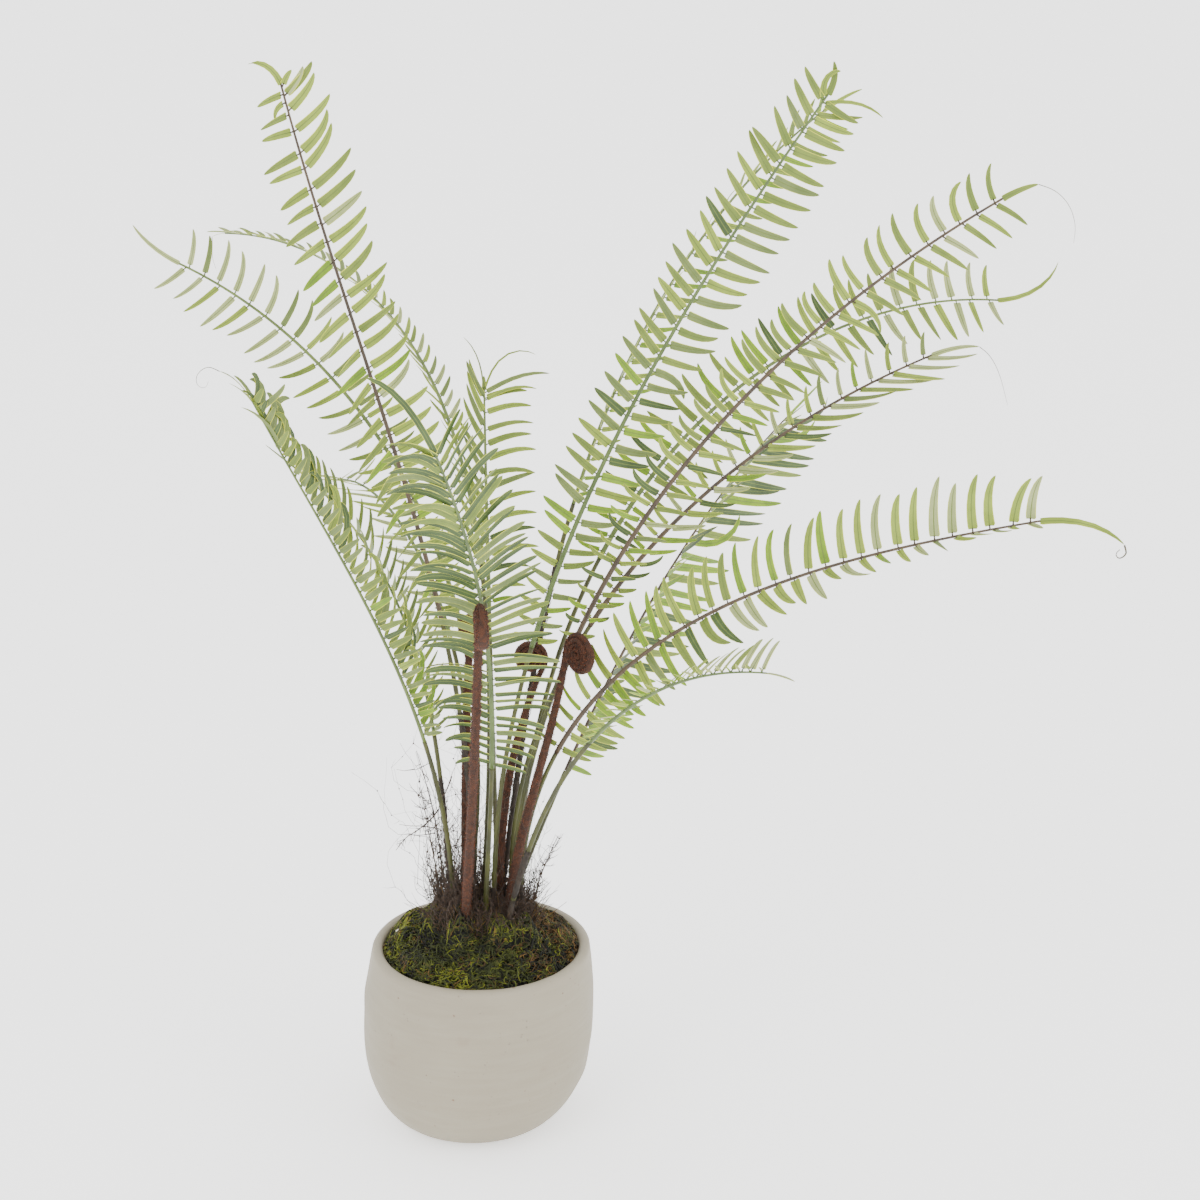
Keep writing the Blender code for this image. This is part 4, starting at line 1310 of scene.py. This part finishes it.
def pot_outer_radius(height: float) -> float:
    """Outer radius of the pot's wall: an oval bowl, then a gentle shoulder.

    Args:
        height: Height above the pot's foot.

    Returns:
        The radius.
    """
    if height < POT_BELLY_HEIGHT:
        drop = 1 - height / POT_BELLY_HEIGHT
        return between((POT_FOOT_RADIUS, POT_BELLY_RADIUS), (1 - drop ** POT_OVAL) ** (1 / POT_OVAL))
    rise = (height - POT_BELLY_HEIGHT) / (POT_HEIGHT - POT_BELLY_HEIGHT)
    return between((POT_BELLY_RADIUS, POT_SHOULDER_RADIUS), rise ** 2)


def crown_spots(reach: Array, turn: Array) -> Array:
    """Points of the crown's top at distances and directions, in radians, from its middle."""
    spots = (reach * np.cos(turn) + CROWN_CENTRE_X, reach * np.sin(turn), np.full(len(turn), CROWN_TOP))
    return np.stack(spots, -1)


@dataclass
class MossBed(Growth):
    """The moss: a near-black lumpy mound, painted shade between the strands, under thousands of curly strands that
    grow in clumps.

    Attributes:
        pitch: Distance between neighbouring clumps.
        each: Strands in a clump.
        edge_radius: Radius of the bed at the pot's wall.
        meadow: Height of the bed round the mound of the crown.
        crest: Height of the mound where the stems leave it.
        crest_reach: Radii of the mound's top and foot.
        hummocks: Small humps: x, y, reach and height in millimetres.
        floor_rings: Rings of the mound's mesh.
        chip_place: Where the chalky chip lies.
        chip_size: Half its width, depth and height.
        chip_lift: Height of its middle over the mound.
        tones: Tone, plain share and thickness as a radius in millimetres of each kind of strand.
        patches: Places where a tone gathers: x, y and reach in millimetres.
    """
    # Waves per metre of the mound's coarse and fine lumps; how deep the mesh lies under the strands' feet.
    COARSE, FINE, FINE_SHARE, SUNK = 52, 130, 0.45, 1.5 * MM
    # Stations and millimetres of a strand, how far it may dip and rise, its thinnest and thickest share.
    STATIONS, LENGTHS, DIP, RISE, THICKNESSES = 9, (8, 18), 1.0 * MM, 6 * MM, (0.65, 1.2)
    CLUMP_TRIES = 4000

    seed: int = 11
    pitch: float = 8.0 * MM
    each: int = 34
    edge_radius: float = pot_outer_radius(MOSS_EDGE_TOP) - POT_WALL - 1.5 * MM
    meadow: float = 158 * MM
    crest: float = 178 * MM
    crest_reach: tuple[float, float] = (24 * MM, 56 * MM)
    hummocks: tuple = ((-15, -39, 10, 27), (15, -39, 11, 20), (37, -28, 10, 25), (-36, -14, 9, 14),
                       (2, -58, 12, 6), (-46, -42, 12, 5), (46, -46, 12, 5), (-60, -6, 12, 5), (62, 0, 14, 9),
                       (-34, 52, 16, 9), (26, 56, 18, 8), (-24, -64, 8, 4), (30, -66, 8, 4), (-58, 30, 13, 9),
                       (56, 32, 13, 9), (0, -30, 8, 8))
    floor_rings: int = 30
    chip_place: tuple[float, float] = (-67 * MM, 6 * MM)
    chip_size: tuple[float, float, float] = (1.6 * MM, 2.2 * MM, 2.6 * MM)
    chip_lift: float = 5 * MM
    tones: tuple = ((Ground.DEEP, 0.24, 0.68), (Ground.GREEN, 0.5, 0.6), (Ground.BRIGHT, 0.14, 0.55),
                    (Ground.TAN, 0.12, 0.44))
    # Tone 0, deep and partly painted shade, gathers round the crown's middle and at two spots in front of it; tone 2,
    # bright and partly painted highlight, gathers at several spots.
    patches: tuple = (
        (2, (-58, 34, 14)), (2, (-68, 10, 11)), (2, (-44, 50, 11)), (2, (-12, -70, 12)), (2, (-66, -16, 7)),
        (2, (20, -34, 9)), (1, (-16, -20, 12)), (1, (22, -26, 18)), (1, (-34, -44, 16)), (1, (8, -56, 16)),
        (2, (20, 60, 16)), (3, (58, 18, 16)), (3, (66, -8, 13)), (3, (42, -4, 12)), (3, (30, 44, 16)),
        (3, (22, -78, 9)), (3, (-10, 62, 14)), (3, (50, -44, 10)), (0, (-30, -28, 12)), (0, (56, -34, 12)),
        (3, (0, 0, 30)), (0, (4, 0, 34)))

    def rise(self, x: Array, y: Array) -> Array:
        """Height of the mound's surface over points of the ground plan.

        Args:
            x: Their places along X.
            y: Their places along Y.

        Returns:
            The heights.
        """
        reach = np.hypot(x - MOSS_SHIFT, y)
        share = np.clip((self.edge_radius - reach) / (self.edge_radius - 40 * MM), 0, 1)
        top, foot = self.crest_reach
        climb = np.clip((foot - reach) / (foot - top), 0, 1)
        lumps = [noise.noise(Vector((px * self.COARSE, py * self.COARSE, 0.3)))
                 + self.FINE_SHARE * noise.noise(Vector((px * self.FINE, py * self.FINE, 2)))
                 for px, py in zip(np.ravel(x), np.ravel(y))]
        bed = between((MOSS_EDGE_TOP, self.meadow), np.sin(share * np.pi / 2))
        mound = (self.crest - self.meadow) * climb ** 2 * (3 - 2 * climb)
        for px, py, size, height in self.hummocks:
            mound = mound + height * MM * np.exp(-((x - px * MM) ** 2 + (y - py * MM) ** 2) / (size * MM) ** 2)
        rough = np.reshape(lumps, np.shape(x)) * MOSS_LUMP * 2.0
        return bed + mound + rough * np.sin(np.pi * np.clip(share, 0.1, 0.5))

    def floor(self) -> None:
        """Make the lumpy mound that the strands lie on, near-black as painted shade between them, in place of the
        source's moss bed.
        """
        bm = bmesh.new()
        bmesh.ops.create_cone(bm, cap_ends=True, cap_tris=True, segments=72, radius1=self.edge_radius,
                              radius2=self.edge_radius, depth=MOSS_EDGE_TOP - BLOCK_TOP)
        top = [face for face in bm.faces if face.normal.z > 0.5]
        spokes = {edge for face in top for edge in face.edges if not edge.is_boundary
                  and min(vert.co.to_2d().length for vert in edge.verts) < 1 * MM}
        bmesh.ops.subdivide_edges(bm, edges=list(spokes), cuts=self.floor_rings, use_grid_fill=True)
        middle = (MOSS_EDGE_TOP + BLOCK_TOP) / 2
        for vert in bm.verts:
            height = vert.co.z + middle if vert.co.z > 0 else BLOCK_TOP + SEAT_GAP
            vert.co = (vert.co.x + MOSS_SHIFT, vert.co.y, height)
        raised = [vert for vert in bm.verts if vert.co.z > middle]
        heights = self.rise(np.array([vert.co.x for vert in raised]), np.array([vert.co.y for vert in raised]))
        for vert, height in zip(raised, heights):
            vert.co.z = height - self.SUNK
        bmesh.ops.recalc_face_normals(bm, faces=bm.faces)
        settle("moss_floor_painted_shade", mesh_of(bm, "moss_floor_painted_shade"), (Ground.PAINTED_SHADE_SHEET,), ("moss_bed",))

    def clumps(self) -> Array:
        """Middles of the clumps, spread over the mound without crowding.

        Returns:
            Their x and y.
        """
        places: list[tuple[float, float]] = []
        tries = [self.rng.uniform(0, most, self.CLUMP_TRIES) for most in (1, 2 * np.pi)]
        for reach, turn in zip(np.sqrt(tries[0]), tries[1]):
            x, y = (self.edge_radius * 0.97 * reach * wave for wave in (math.cos(turn), math.sin(turn)))
            if all(math.hypot(x - px, y - py) > self.pitch * 0.72 for px, py in places):
                places.append((x, y))
        return np.array(places) + np.array((MOSS_SHIFT, 0.0))

    def tone_shares(self, spots: Array) -> Array:
        """Shares of the tones at some spots.

        Args:
            spots: Their x and y.

        Returns:
            Shares, as (spots, tones).
        """
        shares = np.tile([plain for _, plain, _ in self.tones], (len(spots), 1))
        for tone, (x, y, reach) in self.patches:
            gap = np.hypot(spots[:, 0] - x * MM, spots[:, 1] - y * MM) / (reach * MM)
            shares[:, tone] += 1.5 * np.exp(-gap ** 2)
        return shares / shares.sum(axis=1, keepdims=True)

    def strands(self) -> tuple[Array, Array]:
        """Curly lines that arch out of each clump and down again.

        Returns:
            Points as (strands, stations, 3), and the number of each strand's tone.
        """
        rng, clumps = self.rng, self.clumps()
        owner = np.repeat(np.arange(len(clumps)), self.each)
        count, stations = len(owner), self.STATIONS
        share = np.linspace(0, 1, stations)
        heading = rng.uniform(0, 2 * np.pi, count)
        reach = np.abs(rng.normal(0, 0.42, count)) * self.pitch
        spot = clumps[owner] + np.stack((np.cos(heading), np.sin(heading)), -1) * reach[:, None]
        turn = ((heading + rng.normal(0, 1.5, count))[:, None] + rng.normal(0, 3.4, (count, 1)) * share
                + rng.normal(0, 0.3, (count, stations)))
        tilt = np.radians(rng.uniform(10, 75, (count, 1))) * (1 - 2.2 * share) + rng.normal(0, 0.3, (count, stations))
        step = rng.uniform(*self.LENGTHS, (count, 1, 1)) * MM / (stations - 1)
        stride = np.stack((np.cos(turn) * np.cos(tilt), np.sin(turn) * np.cos(tilt), np.sin(tilt)), -1) * step
        height = self.rise(*spot.T)
        slope = np.stack([(self.rise(*(spot + shift).T) - height) / MM for shift in np.eye(2) * MM], -1)[:, None]
        downhill = np.sum(stride[..., :2] * slope, axis=-1, keepdims=True)
        stride[..., :2] -= slope * downhill / (1 + np.sum(slope ** 2, axis=-1, keepdims=True))
        dome = 4.0 * MM * np.exp(-(reach / (0.5 * self.pitch)) ** 2)
        foot = np.concatenate((spot, (height + dome - self.SUNK)[:, None]), axis=1)
        lines = foot[:, None] + walk(stride[:, :-1])
        ground = self.rise(lines[..., 0], lines[..., 1])
        lines[..., 2] = np.clip(lines[..., 2], ground - self.DIP, ground + self.RISE)
        shift = np.array((MOSS_SHIFT, 0.0))
        plan = lines[..., :2] - shift
        far = np.linalg.norm(plan, axis=-1, keepdims=True)
        lines[..., :2] = plan * np.minimum(1, (self.edge_radius + 0.8 * MM) / np.maximum(far, 1e-6)) + shift
        odds = np.cumsum(self.tone_shares(clumps), axis=1)[owner]
        return lines, np.sum(rng.uniform(0, 1, (count, 1)) > odds, axis=1)

    def chip(self) -> None:
        """Make the small chalky chip that lies on the moss at the left."""
        bm = bmesh.new()
        bmesh.ops.create_icosphere(bm, subdivisions=2, radius=1.0)
        x, y = self.chip_place
        ground = float(self.rise(np.array([x]), np.array([y]))[0])
        for vert in bm.verts:
            size = 1 + 0.35 * noise.noise(vert.co * 1.7)
            wide, deep, high = self.chip_size
            vert.co = (x + vert.co.x * wide * size, y + vert.co.y * deep * size,
                       ground + self.chip_lift + vert.co.z * high * size)
        settle("chalk_chip", mesh_of(bm, "chalk_chip", smooth=False), (Ground.CHIP,))

    def build(self) -> None:
        """Make the mound, the strands of each tone and the chip."""
        self.floor()
        lines, tones = self.strands()
        for number, (finish, _, radius) in enumerate(self.tones):
            mine = lines[tones == number]
            heap = Heap((finish,))
            heap.fibres(mine, radius * MM * self.rng.uniform(*self.THICKNESSES, len(mine)), taper=0.5)
            heap.piece(finish.value.name, "moss")
        self.chip()


@dataclass(frozen=True)
class Tuft:
    """A tuft of wiry root fibres on the crown.

    Attributes:
        headings: Compass directions between which the fibres start.
        radii: Millimetres from the crown's middle between which they start.
        count: How many.
        lengths: Millimetres of the shortest and the longest.
        lean: Degrees from the vertical, at the foot and at the tip.
        thick: Radius at the foot in millimetres.
        wander: How much they bend from place to place.
    """
    headings: tuple[float, float]
    radii: tuple[float, float]
    count: int
    lengths: tuple[float, float]
    lean: tuple[float, float]
    thick: float
    wander: float = 0.3


@dataclass
class RootTangle(Growth):
    """The wiry roots: dense dark tufts round the stems, fine long hairs, and the source's sprigs.

    Attributes:
        tufts: The tufts.
        stations: Points along each fibre.
        sunk: How far the sprigs' feet lie below the crown's top.
        sprigs: The source's sprigs, by name.
        branches: Offsets in millimetres of the thin branches at the left sprig's tip.
    """
    # Knots on each line, and the radii of a sprig's fibres and of its branches.
    KNOTS = 2.2
    SPRIG_RADII, BRANCH_RADII = np.array((0.75, 0.4, 0.35, 0.3)) * MM, np.array((0.7, 0.5, 0.45, 0.5)) * MM
    SPRIG_STATIONS = 14

    seed: int = 29
    tufts: tuple[Tuft, ...] = (
        Tuft((130, 240), (18, 42), 150, (30, 60), (0, 20), 0.42, 0.32),
        Tuft((140, 225), (16, 40), 60, (60, 122), (0, 12), 0.42, 0.45),
        Tuft((100, 260), (10, 38), 70, (30, 54), (2, 20), 0.38, 0.3),
        Tuft((-60, 60), (16, 38), 100, (30, 56), (2, 24), 0.36, 0.3),
        Tuft((200, 340), (12, 34), 70, (28, 44), (2, 24), 0.38, 0.3),
        Tuft((20, 160), (14, 36), 90, (30, 66), (2, 24), 0.36, 0.3),
        Tuft((-50, 50), (18, 36), 20, (60, 130), (4, 26), 0.32, 0.5),
        Tuft((222, 330), (34, 42), 110, (28, 52), (-4, 16), 0.4, 0.4),
        Tuft((130, 250), (8, 34), 54, (90, 230), (0, 7), 0.32, 0.55),
    )
    stations: int = 18
    sunk: float = 8 * MM
    sprigs: tuple = (
        ("left_outer", Limb((-31, -3), 128, (2, 4, 12), (175, 185))),
        ("left_inner", Limb((-28, 13), 150, (0, 8, 16), (160, 185))),
        ("right", Limb((38, 12), 80, (8, 18, 26), (20, -10))),
        ("back", Limb((2, 34), 80, (4, 12, 20), (100, 110))),
    )
    branches: tuple = (
        ((13, 0, -20), (6, 0, -30), (-7, -1, -40), (-13, -1, -43), (-21, -2, -54)),
        ((14, 0, -37), (0, 0, -34), (-8, -1, -34), (-18, -2, -32)),
        ((10, 0, -40), (-1, -1, -42), (-11, -1, -41)),
        ((24, 0, 8), (20, 0, -4), (14, 0, -12), (13, 0, -22), (11, 1, -40)))

    def strands(self, tuft: Tuft) -> Array:
        """Wandering lines of one tuft, as (fibres, stations, 3).

        Args:
            tuft: The tuft.

        Returns:
            The lines' points.
        """
        rng, stations, count = self.rng, self.stations, tuft.count
        turn = np.radians(rng.uniform(*tuft.headings, count))
        reach = rng.uniform(*tuft.radii, count) * MM
        foot = crown_spots(reach, turn)
        lean = np.radians(between(tuft.lean, np.linspace(0, 1, stations))) * rng.uniform(0.2, 1.6, (count, 1))
        heading = (turn + rng.normal(0, 0.5, count))[:, None]
        kink = rng.normal(0, tuft.wander, (count, stations + 2, 3))
        kink = kink[:, 2:] * 0.6 + kink[:, 1:-1] * 0.7 + kink[:, :-2] * 0.5
        length = rng.uniform(*tuft.lengths, count)[:, None] * MM
        aim = unit(facing(np.degrees(heading), 90 - np.degrees(lean)) + kink)
        stride = aim * (length / (stations - 1))[..., None]
        return foot[:, None] + walk(stride[:, :-1])

    def twigs(self, lines: Array, each: int, reach: tuple[float, float]) -> Array:
        """Short side twigs that leave some lines.

        Args:
            lines: The lines they leave.
            each: Twigs for each line.
            reach: Millimetres of the shortest and the longest.

        Returns:
            Points, as (twigs, 4, 3).
        """
        rng = self.rng
        source = np.repeat(np.arange(len(lines)), each)
        at = rng.integers(2, lines.shape[1] - 1, len(source))
        foot = lines[source, at]
        along = unit(lines[source, at + 1] - foot + 1e-9)
        aside = unit(rng.normal(0, 1, foot.shape))
        length = rng.uniform(*reach, len(source))[:, None] * MM
        tip = foot + unit(along * 0.8 + aside) * length
        knee = (foot + tip) / 2 + aside * length * 0.12
        return np.stack((foot, (foot + knee) / 2, knee, tip), axis=1)

    def knots(self, heap: Heap, lines: Array, radius: float) -> None:
        """Add small knots on some lines.

        Args:
            heap: Where they go.
            lines: The lines.
            radius: Mean radius of a knot.
        """
        rng, count = self.rng, int(len(lines) * self.KNOTS)
        source, at = rng.integers(0, len(lines), count), rng.integers(2, lines.shape[1] - 1, count)
        foot = lines[source, at]
        along = unit(lines[source, at + 1] - foot + 1e-9)
        size = radius * rng.uniform(0.6, 1.5, count)[:, None]
        spots = foot[:, None] + along[:, None] * (size[..., None] * np.linspace(-1, 1, 4)[None, :, None])
        side, up = rod_frames(spots)
        radii = size * np.array((0.35, 1.0, 1.0, 0.35))
        heap.rods((spots, side, -up), radii, radii, 4, 0)

    def build(self) -> None:
        """Make the tangle, and each sprig in place of the source's."""
        heap = Heap((Ground.ROOT,))
        for tuft in self.tufts:
            lines = self.strands(tuft)
            heap.fibres(lines, tuft.thick * MM * self.rng.uniform(0.6, 1.2, tuft.count))
            heap.fibres(self.twigs(lines, 3, (3, 11)), tuft.thick * 0.6 * MM)
            self.knots(heap, lines, tuft.thick * 1.5 * MM)
        heap.piece("root_tangle", "roots")
        for name, limb in self.sprigs:
            self.sprig(name, limb)

    def sprig(self, name: str, limb: Limb) -> None:
        """Make one sprig: a wiry main fibre with finer ones beside it and short twigs.

        Args:
            name: Its name in the source.
            limb: Its centre line.
        """
        path = Path(limb, self.sunk)
        heap = Heap((Ground.ROOT,))
        points, _ = path.at(np.linspace(0, path.length, self.SPRIG_STATIONS))
        drift = np.cumsum(self.rng.normal(0, 0.7 * MM, (len(self.SPRIG_RADII), self.SPRIG_STATIONS, 3)), axis=1)
        drift[0] *= 0.4
        lines = points[None] + drift
        heap.fibres(lines, self.SPRIG_RADII, sides=5)
        twigs = self.twigs(lines, 9, (4, 15))
        heap.fibres(twigs, 0.42 * MM)
        heap.fibres(self.twigs(np.repeat(twigs, 3, axis=1)[:, ::2], 1, (2, 6)), 0.2 * MM)
        self.knots(heap, lines, 0.7 * MM)
        if name == "left_outer":
            branches = np.stack([resample(points[-1] + np.array(branch) * MM, self.SPRIG_STATIONS)
                                 for branch in self.branches])
            heap.fibres(branches, self.BRANCH_RADII, sides=5)
            heap.fibres(self.twigs(branches[:1], 16, (3, 9)), 0.36 * MM)
            self.knots(heap, np.repeat(branches[:1], 4, axis=0), 0.65 * MM)
        heap.piece(f"wiry_{name}", "roots", (f"root_sprig_{name}",))


@dataclass
class RootCrown(Growth):
    """The root crown: a fibrous dark mound that the stems rise from.

    Attributes:
        fibres: How many husk fibres stand on it.
    """
    # The mound's radius from ring to ring as a share, and how many sides it has.
    RINGS, SIDES = np.array((0.99, 0.99, 0.99, 0.98, 0.96, 0.9, 0.72, 0.3)), 40

    seed: int = 41
    fibres: int = 1500

    def build(self) -> None:
        """Make the mound and its husk fibres as one piece, in place of the source's crown."""
        rng, heap = self.rng, Heap((Ground.HUSK, Ground.ROOT, Ground.TAN))
        rings = len(self.RINGS)
        heights = BLOCK_TOP + SEAT_GAP + (CROWN_TOP - 2 * MM - BLOCK_TOP) * np.linspace(0, 1, rings) ** 0.7
        spine = np.stack((np.full(rings, CROWN_CENTRE_X), np.zeros(rings), heights), -1)
        radius = (CROWN_RADIUS - 0.5 * MM) * self.RINGS
        side, up = (np.broadcast_to(axis, spine.shape) for axis in np.eye(3)[:2])
        heap.rods((spine, side, up), radius, radius, self.SIDES, 0)
        turn = rng.uniform(0, 2 * np.pi, self.fibres)
        reach = (CROWN_RADIUS - 1 * MM) * np.sqrt(rng.uniform(0, 1, self.fibres))
        heading = np.degrees(turn) + rng.normal(0, 50, self.fibres)
        lean = np.abs(rng.normal(10, 22, self.fibres))
        length = rng.uniform(12, 30, self.fibres)[:, None, None] * MM
        aim = facing(heading, 90 - lean)[:, None]
        bend = rng.normal(0, 0.25, (self.fibres, 1, 3))
        steps = np.linspace(0, 1, 5)[None, :, None]
        lines = crown_spots(reach, turn)[:, None] + (aim * steps + bend * steps ** 2) * length
        heap.fibres(lines, rng.uniform(0.2, 0.55, self.fibres) * MM, rng.choice((0, 0, 1, 2), self.fibres))
        heap.piece("crown_husk", "roots", ("root_crown",))


# Pot

@dataclass
class Pot:
    """The pot: a thick hand-cast bowl with a rounded lip, slightly uneven all over.

    Attributes:
        segments: Faces round it.
        wobble: Largest unevenness of the wall.
        dents: Soft dents and swellings: heading, height, radius and depth in millimetres.
    """
    # Height up to which the foot stays even, the lip's worn band and its depth, rows of wall, lip and inside.
    EVEN_FOOT, LIP_BAND, LIP_WEAR, WALL_ROWS, LIP_ROWS, INNER_ROWS = 12 * MM, 6 * MM, 0.5 * MM, 46, 13, 20
    # More than the pot has vertices.
    SPAN = 1e5

    segments: int = 144
    wobble: float = 0.45 * MM
    dents: tuple = ((186, 134, 9, -1.1), (188, 112, 12, 0.9), (194, 92, 10, -0.8), (180, 62, 9, -0.9),
                    (178, 48, 9, 0.7), (150, 60, 22, -0.5), (-14, 76, 8, 0.8), (-10, 62, 9, -1.1), (-8, 44, 10, 0.6),
                    (-40, 96, 24, -0.6), (40, 110, 22, 0.5), (100, 60, 26, -0.6))

    def profile(self) -> list[tuple[float, float]]:
        """Section of the wall, from the foot's middle over the lip to the floor's middle.

        Returns:
            Radius and height of each row.
        """
        lip = POT_WALL / 2
        lip_height = POT_HEIGHT - lip
        rows = [(0.0, 0.0), (POT_FOOT_RADIUS * 0.6, 0.0), (POT_FOOT_RADIUS - 0.6 * MM, 0.0)]
        rows += [(pot_outer_radius(height), height) for height in np.linspace(0.5 * MM, lip_height, self.WALL_ROWS)]
        middle = pot_outer_radius(lip_height) - lip
        for angle in np.linspace(0, math.pi, self.LIP_ROWS)[1:-1]:
            rows.append((middle + lip * math.cos(angle), lip_height + lip * math.sin(angle)))
        for height in np.linspace(lip_height, POT_FLOOR + 2 * MM, self.INNER_ROWS):
            rows.append((pot_outer_radius(height) - POT_WALL, height))
        rows += [(pot_outer_radius(POT_FLOOR) - POT_WALL - 6 * MM, POT_FLOOR), (0.0, POT_FLOOR)]
        return rows

    def uneven(self, point: Vector) -> float:
        """How far the wall stands out at a point, in metres.

        Args:
            point: A point of the turned wall.

        Returns:
            The distance, inward where negative.
        """
        stand = self.wobble * (noise.noise(point * 22) + 0.5 * noise.noise(point * 60))
        for heading, height, reach, depth in self.dents:
            turn = math.radians(heading)
            centre = Vector((math.cos(turn), math.sin(turn), 0)) * pot_outer_radius(height * MM)
            centre.z = height * MM
            gap = (point - centre).length / (reach * MM)
            stand += depth * MM * math.exp(-gap * gap)
        return stand

    def face_order(self, face: bmesh.types.BMFace) -> float:
        """A number of its own for each face, so that the spun faces are listed alike in each run."""
        first, second, third = sorted(vert.index for vert in face.verts)[:3]
        return (first * self.SPAN + second) * self.SPAN + third

    def build(self) -> None:
        """Spin the wall, lean it, make it uneven and dress it, in place of the source's pot."""
        bm = bmesh.new()
        verts = [bm.verts.new((radius, 0, height)) for radius, height in self.profile()]
        edges = [bm.edges.new(pair) for pair in zip(verts, verts[1:])]
        bmesh.ops.spin(bm, geom=verts + edges, axis=(0, 0, 1), cent=(0, 0, 0), angle=2 * math.pi,
                       steps=self.segments, use_merge=True)
        bmesh.ops.remove_doubles(bm, verts=bm.verts, dist=0.01 * MM)
        for vert in bm.verts:
            height = vert.co.z
            flat = vert.co.to_2d()
            ease = min(1.0, height / self.EVEN_FOOT)
            if flat.length > 1 * MM and ease > 0:
                push = self.uneven(vert.co.copy()) * ease
                vert.co.x += flat.normalized().x * push
                vert.co.y += flat.normalized().y * push
            vert.co.x += POT_LEAN * (height - POT_HEIGHT)
            if height > POT_HEIGHT - self.LIP_BAND:
                vert.co.z -= abs(noise.noise(Vector((flat.x, flat.y, 0)) * 30)) * self.LIP_WEAR
        bmesh.ops.recalc_face_normals(bm, faces=bm.faces)
        bm.verts.index_update()
        bm.faces.sort(key=self.face_order)
        settle("stoneware_pot", mesh_of(bm, "stoneware_pot"), (PotFinish(),), ("pot",))


# Studio

@dataclass
class Studio:
    """The plain studio: a pale floor, soft light from all round and the camera.

    Attributes:
        camera_place: Where the camera stands.
        pitch_down: Degrees it looks down.
        lens: Focal length in millimetres on a 36 mm sensor.
        sky: Strength of the light from all round.
        lamps: Name, place, size of the square face and watts of each lamp.
    """
    camera_place: tuple[float, float, float] = (0.095, -1.728, 1.029)
    pitch_down: float = 18.84
    lens: float = 72.0
    sky: float = 2.1
    lamps: tuple = (("key", (-1.6, -2.2, 2.6), 1.8, 40.0), ("fill", (2.2, -1.6, 1.6), 1.8, 20.0))

    def camera(self) -> None:
        """Make the camera the scene's own."""
        data = bpy.data.cameras.new("camera")
        data.lens, data.sensor_width = self.lens, 36.0
        camera = put("camera", data)
        camera.location = self.camera_place
        camera.rotation_euler = (math.radians(90 - self.pitch_down), 0, 0)
        bpy.context.scene.camera = camera

    def floor(self) -> None:
        """Make the pale floor."""
        bm = bmesh.new()
        bmesh.ops.create_grid(bm, x_segments=2, y_segments=2, size=60.0)
        floor = put("floor", mesh_of(bm, "floor", smooth=False))
        tree = Tree("studio_floor")
        colour = tree.blend(tree.grain(2.0), (0.95, 0.95, 0.95), (0.93, 0.93, 0.93))
        material = tree.finish(colour, 0.9, constants={"Emission Color": (1.0, 1.0, 1.0), "Emission Strength": 0.9})
        floor.data.materials.append(material)

    def lamp(self, name: str, place: tuple[float, float, float], size: float, power: float) -> None:
        """Add a soft lamp that faces the plant.

        Args:
            name: Its name.
            place: Where it stands.
            size: Side of its square face.
            power: Watts.
        """
        data = bpy.data.lights.new(name, "AREA")
        data.size, data.energy = size, power
        lamp = put(name, data)
        lamp.location = place
        lamp.rotation_euler = (Vector(PLANT_MIDDLE) - Vector(place)).to_track_quat("-Z", "Y").to_euler()

    def build(self) -> None:
        """Make floor, light and camera."""
        world = bpy.data.worlds.new("studio")
        bpy.context.scene.world = world
        world.use_nodes = True
        background = world.node_tree.nodes["Background"]
        background.inputs["Color"].default_value = (1.0, 1.0, 1.0, 1.0)
        background.inputs["Strength"].default_value = self.sky
        self.floor()
        for name, place, size, power in self.lamps:
            self.lamp(name, place, size, power)
        self.camera()


def main() -> None:
    """Build and dress every part of the plant in order."""
    logging.basicConfig(level=logging.INFO, format="%(name)s: %(message)s")
    Studio().build()
    Pot().build()
    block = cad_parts["planting_block"]
    block.data.materials.clear()
    block.data.materials.append(material_of(Ground.FOAM))
    MossBed().build()
    RootCrown().build()
    RootTangle().build()
    for number, crozier in enumerate(CROZIERS):
        FurledFrond(300 + number, crozier).build()
    for number, frond in enumerate(FRONDS):
        Stem(100 + number, frond).build()
        FrondBlade(200 + number, frond).build()


if __name__ == "__main__":
    main()
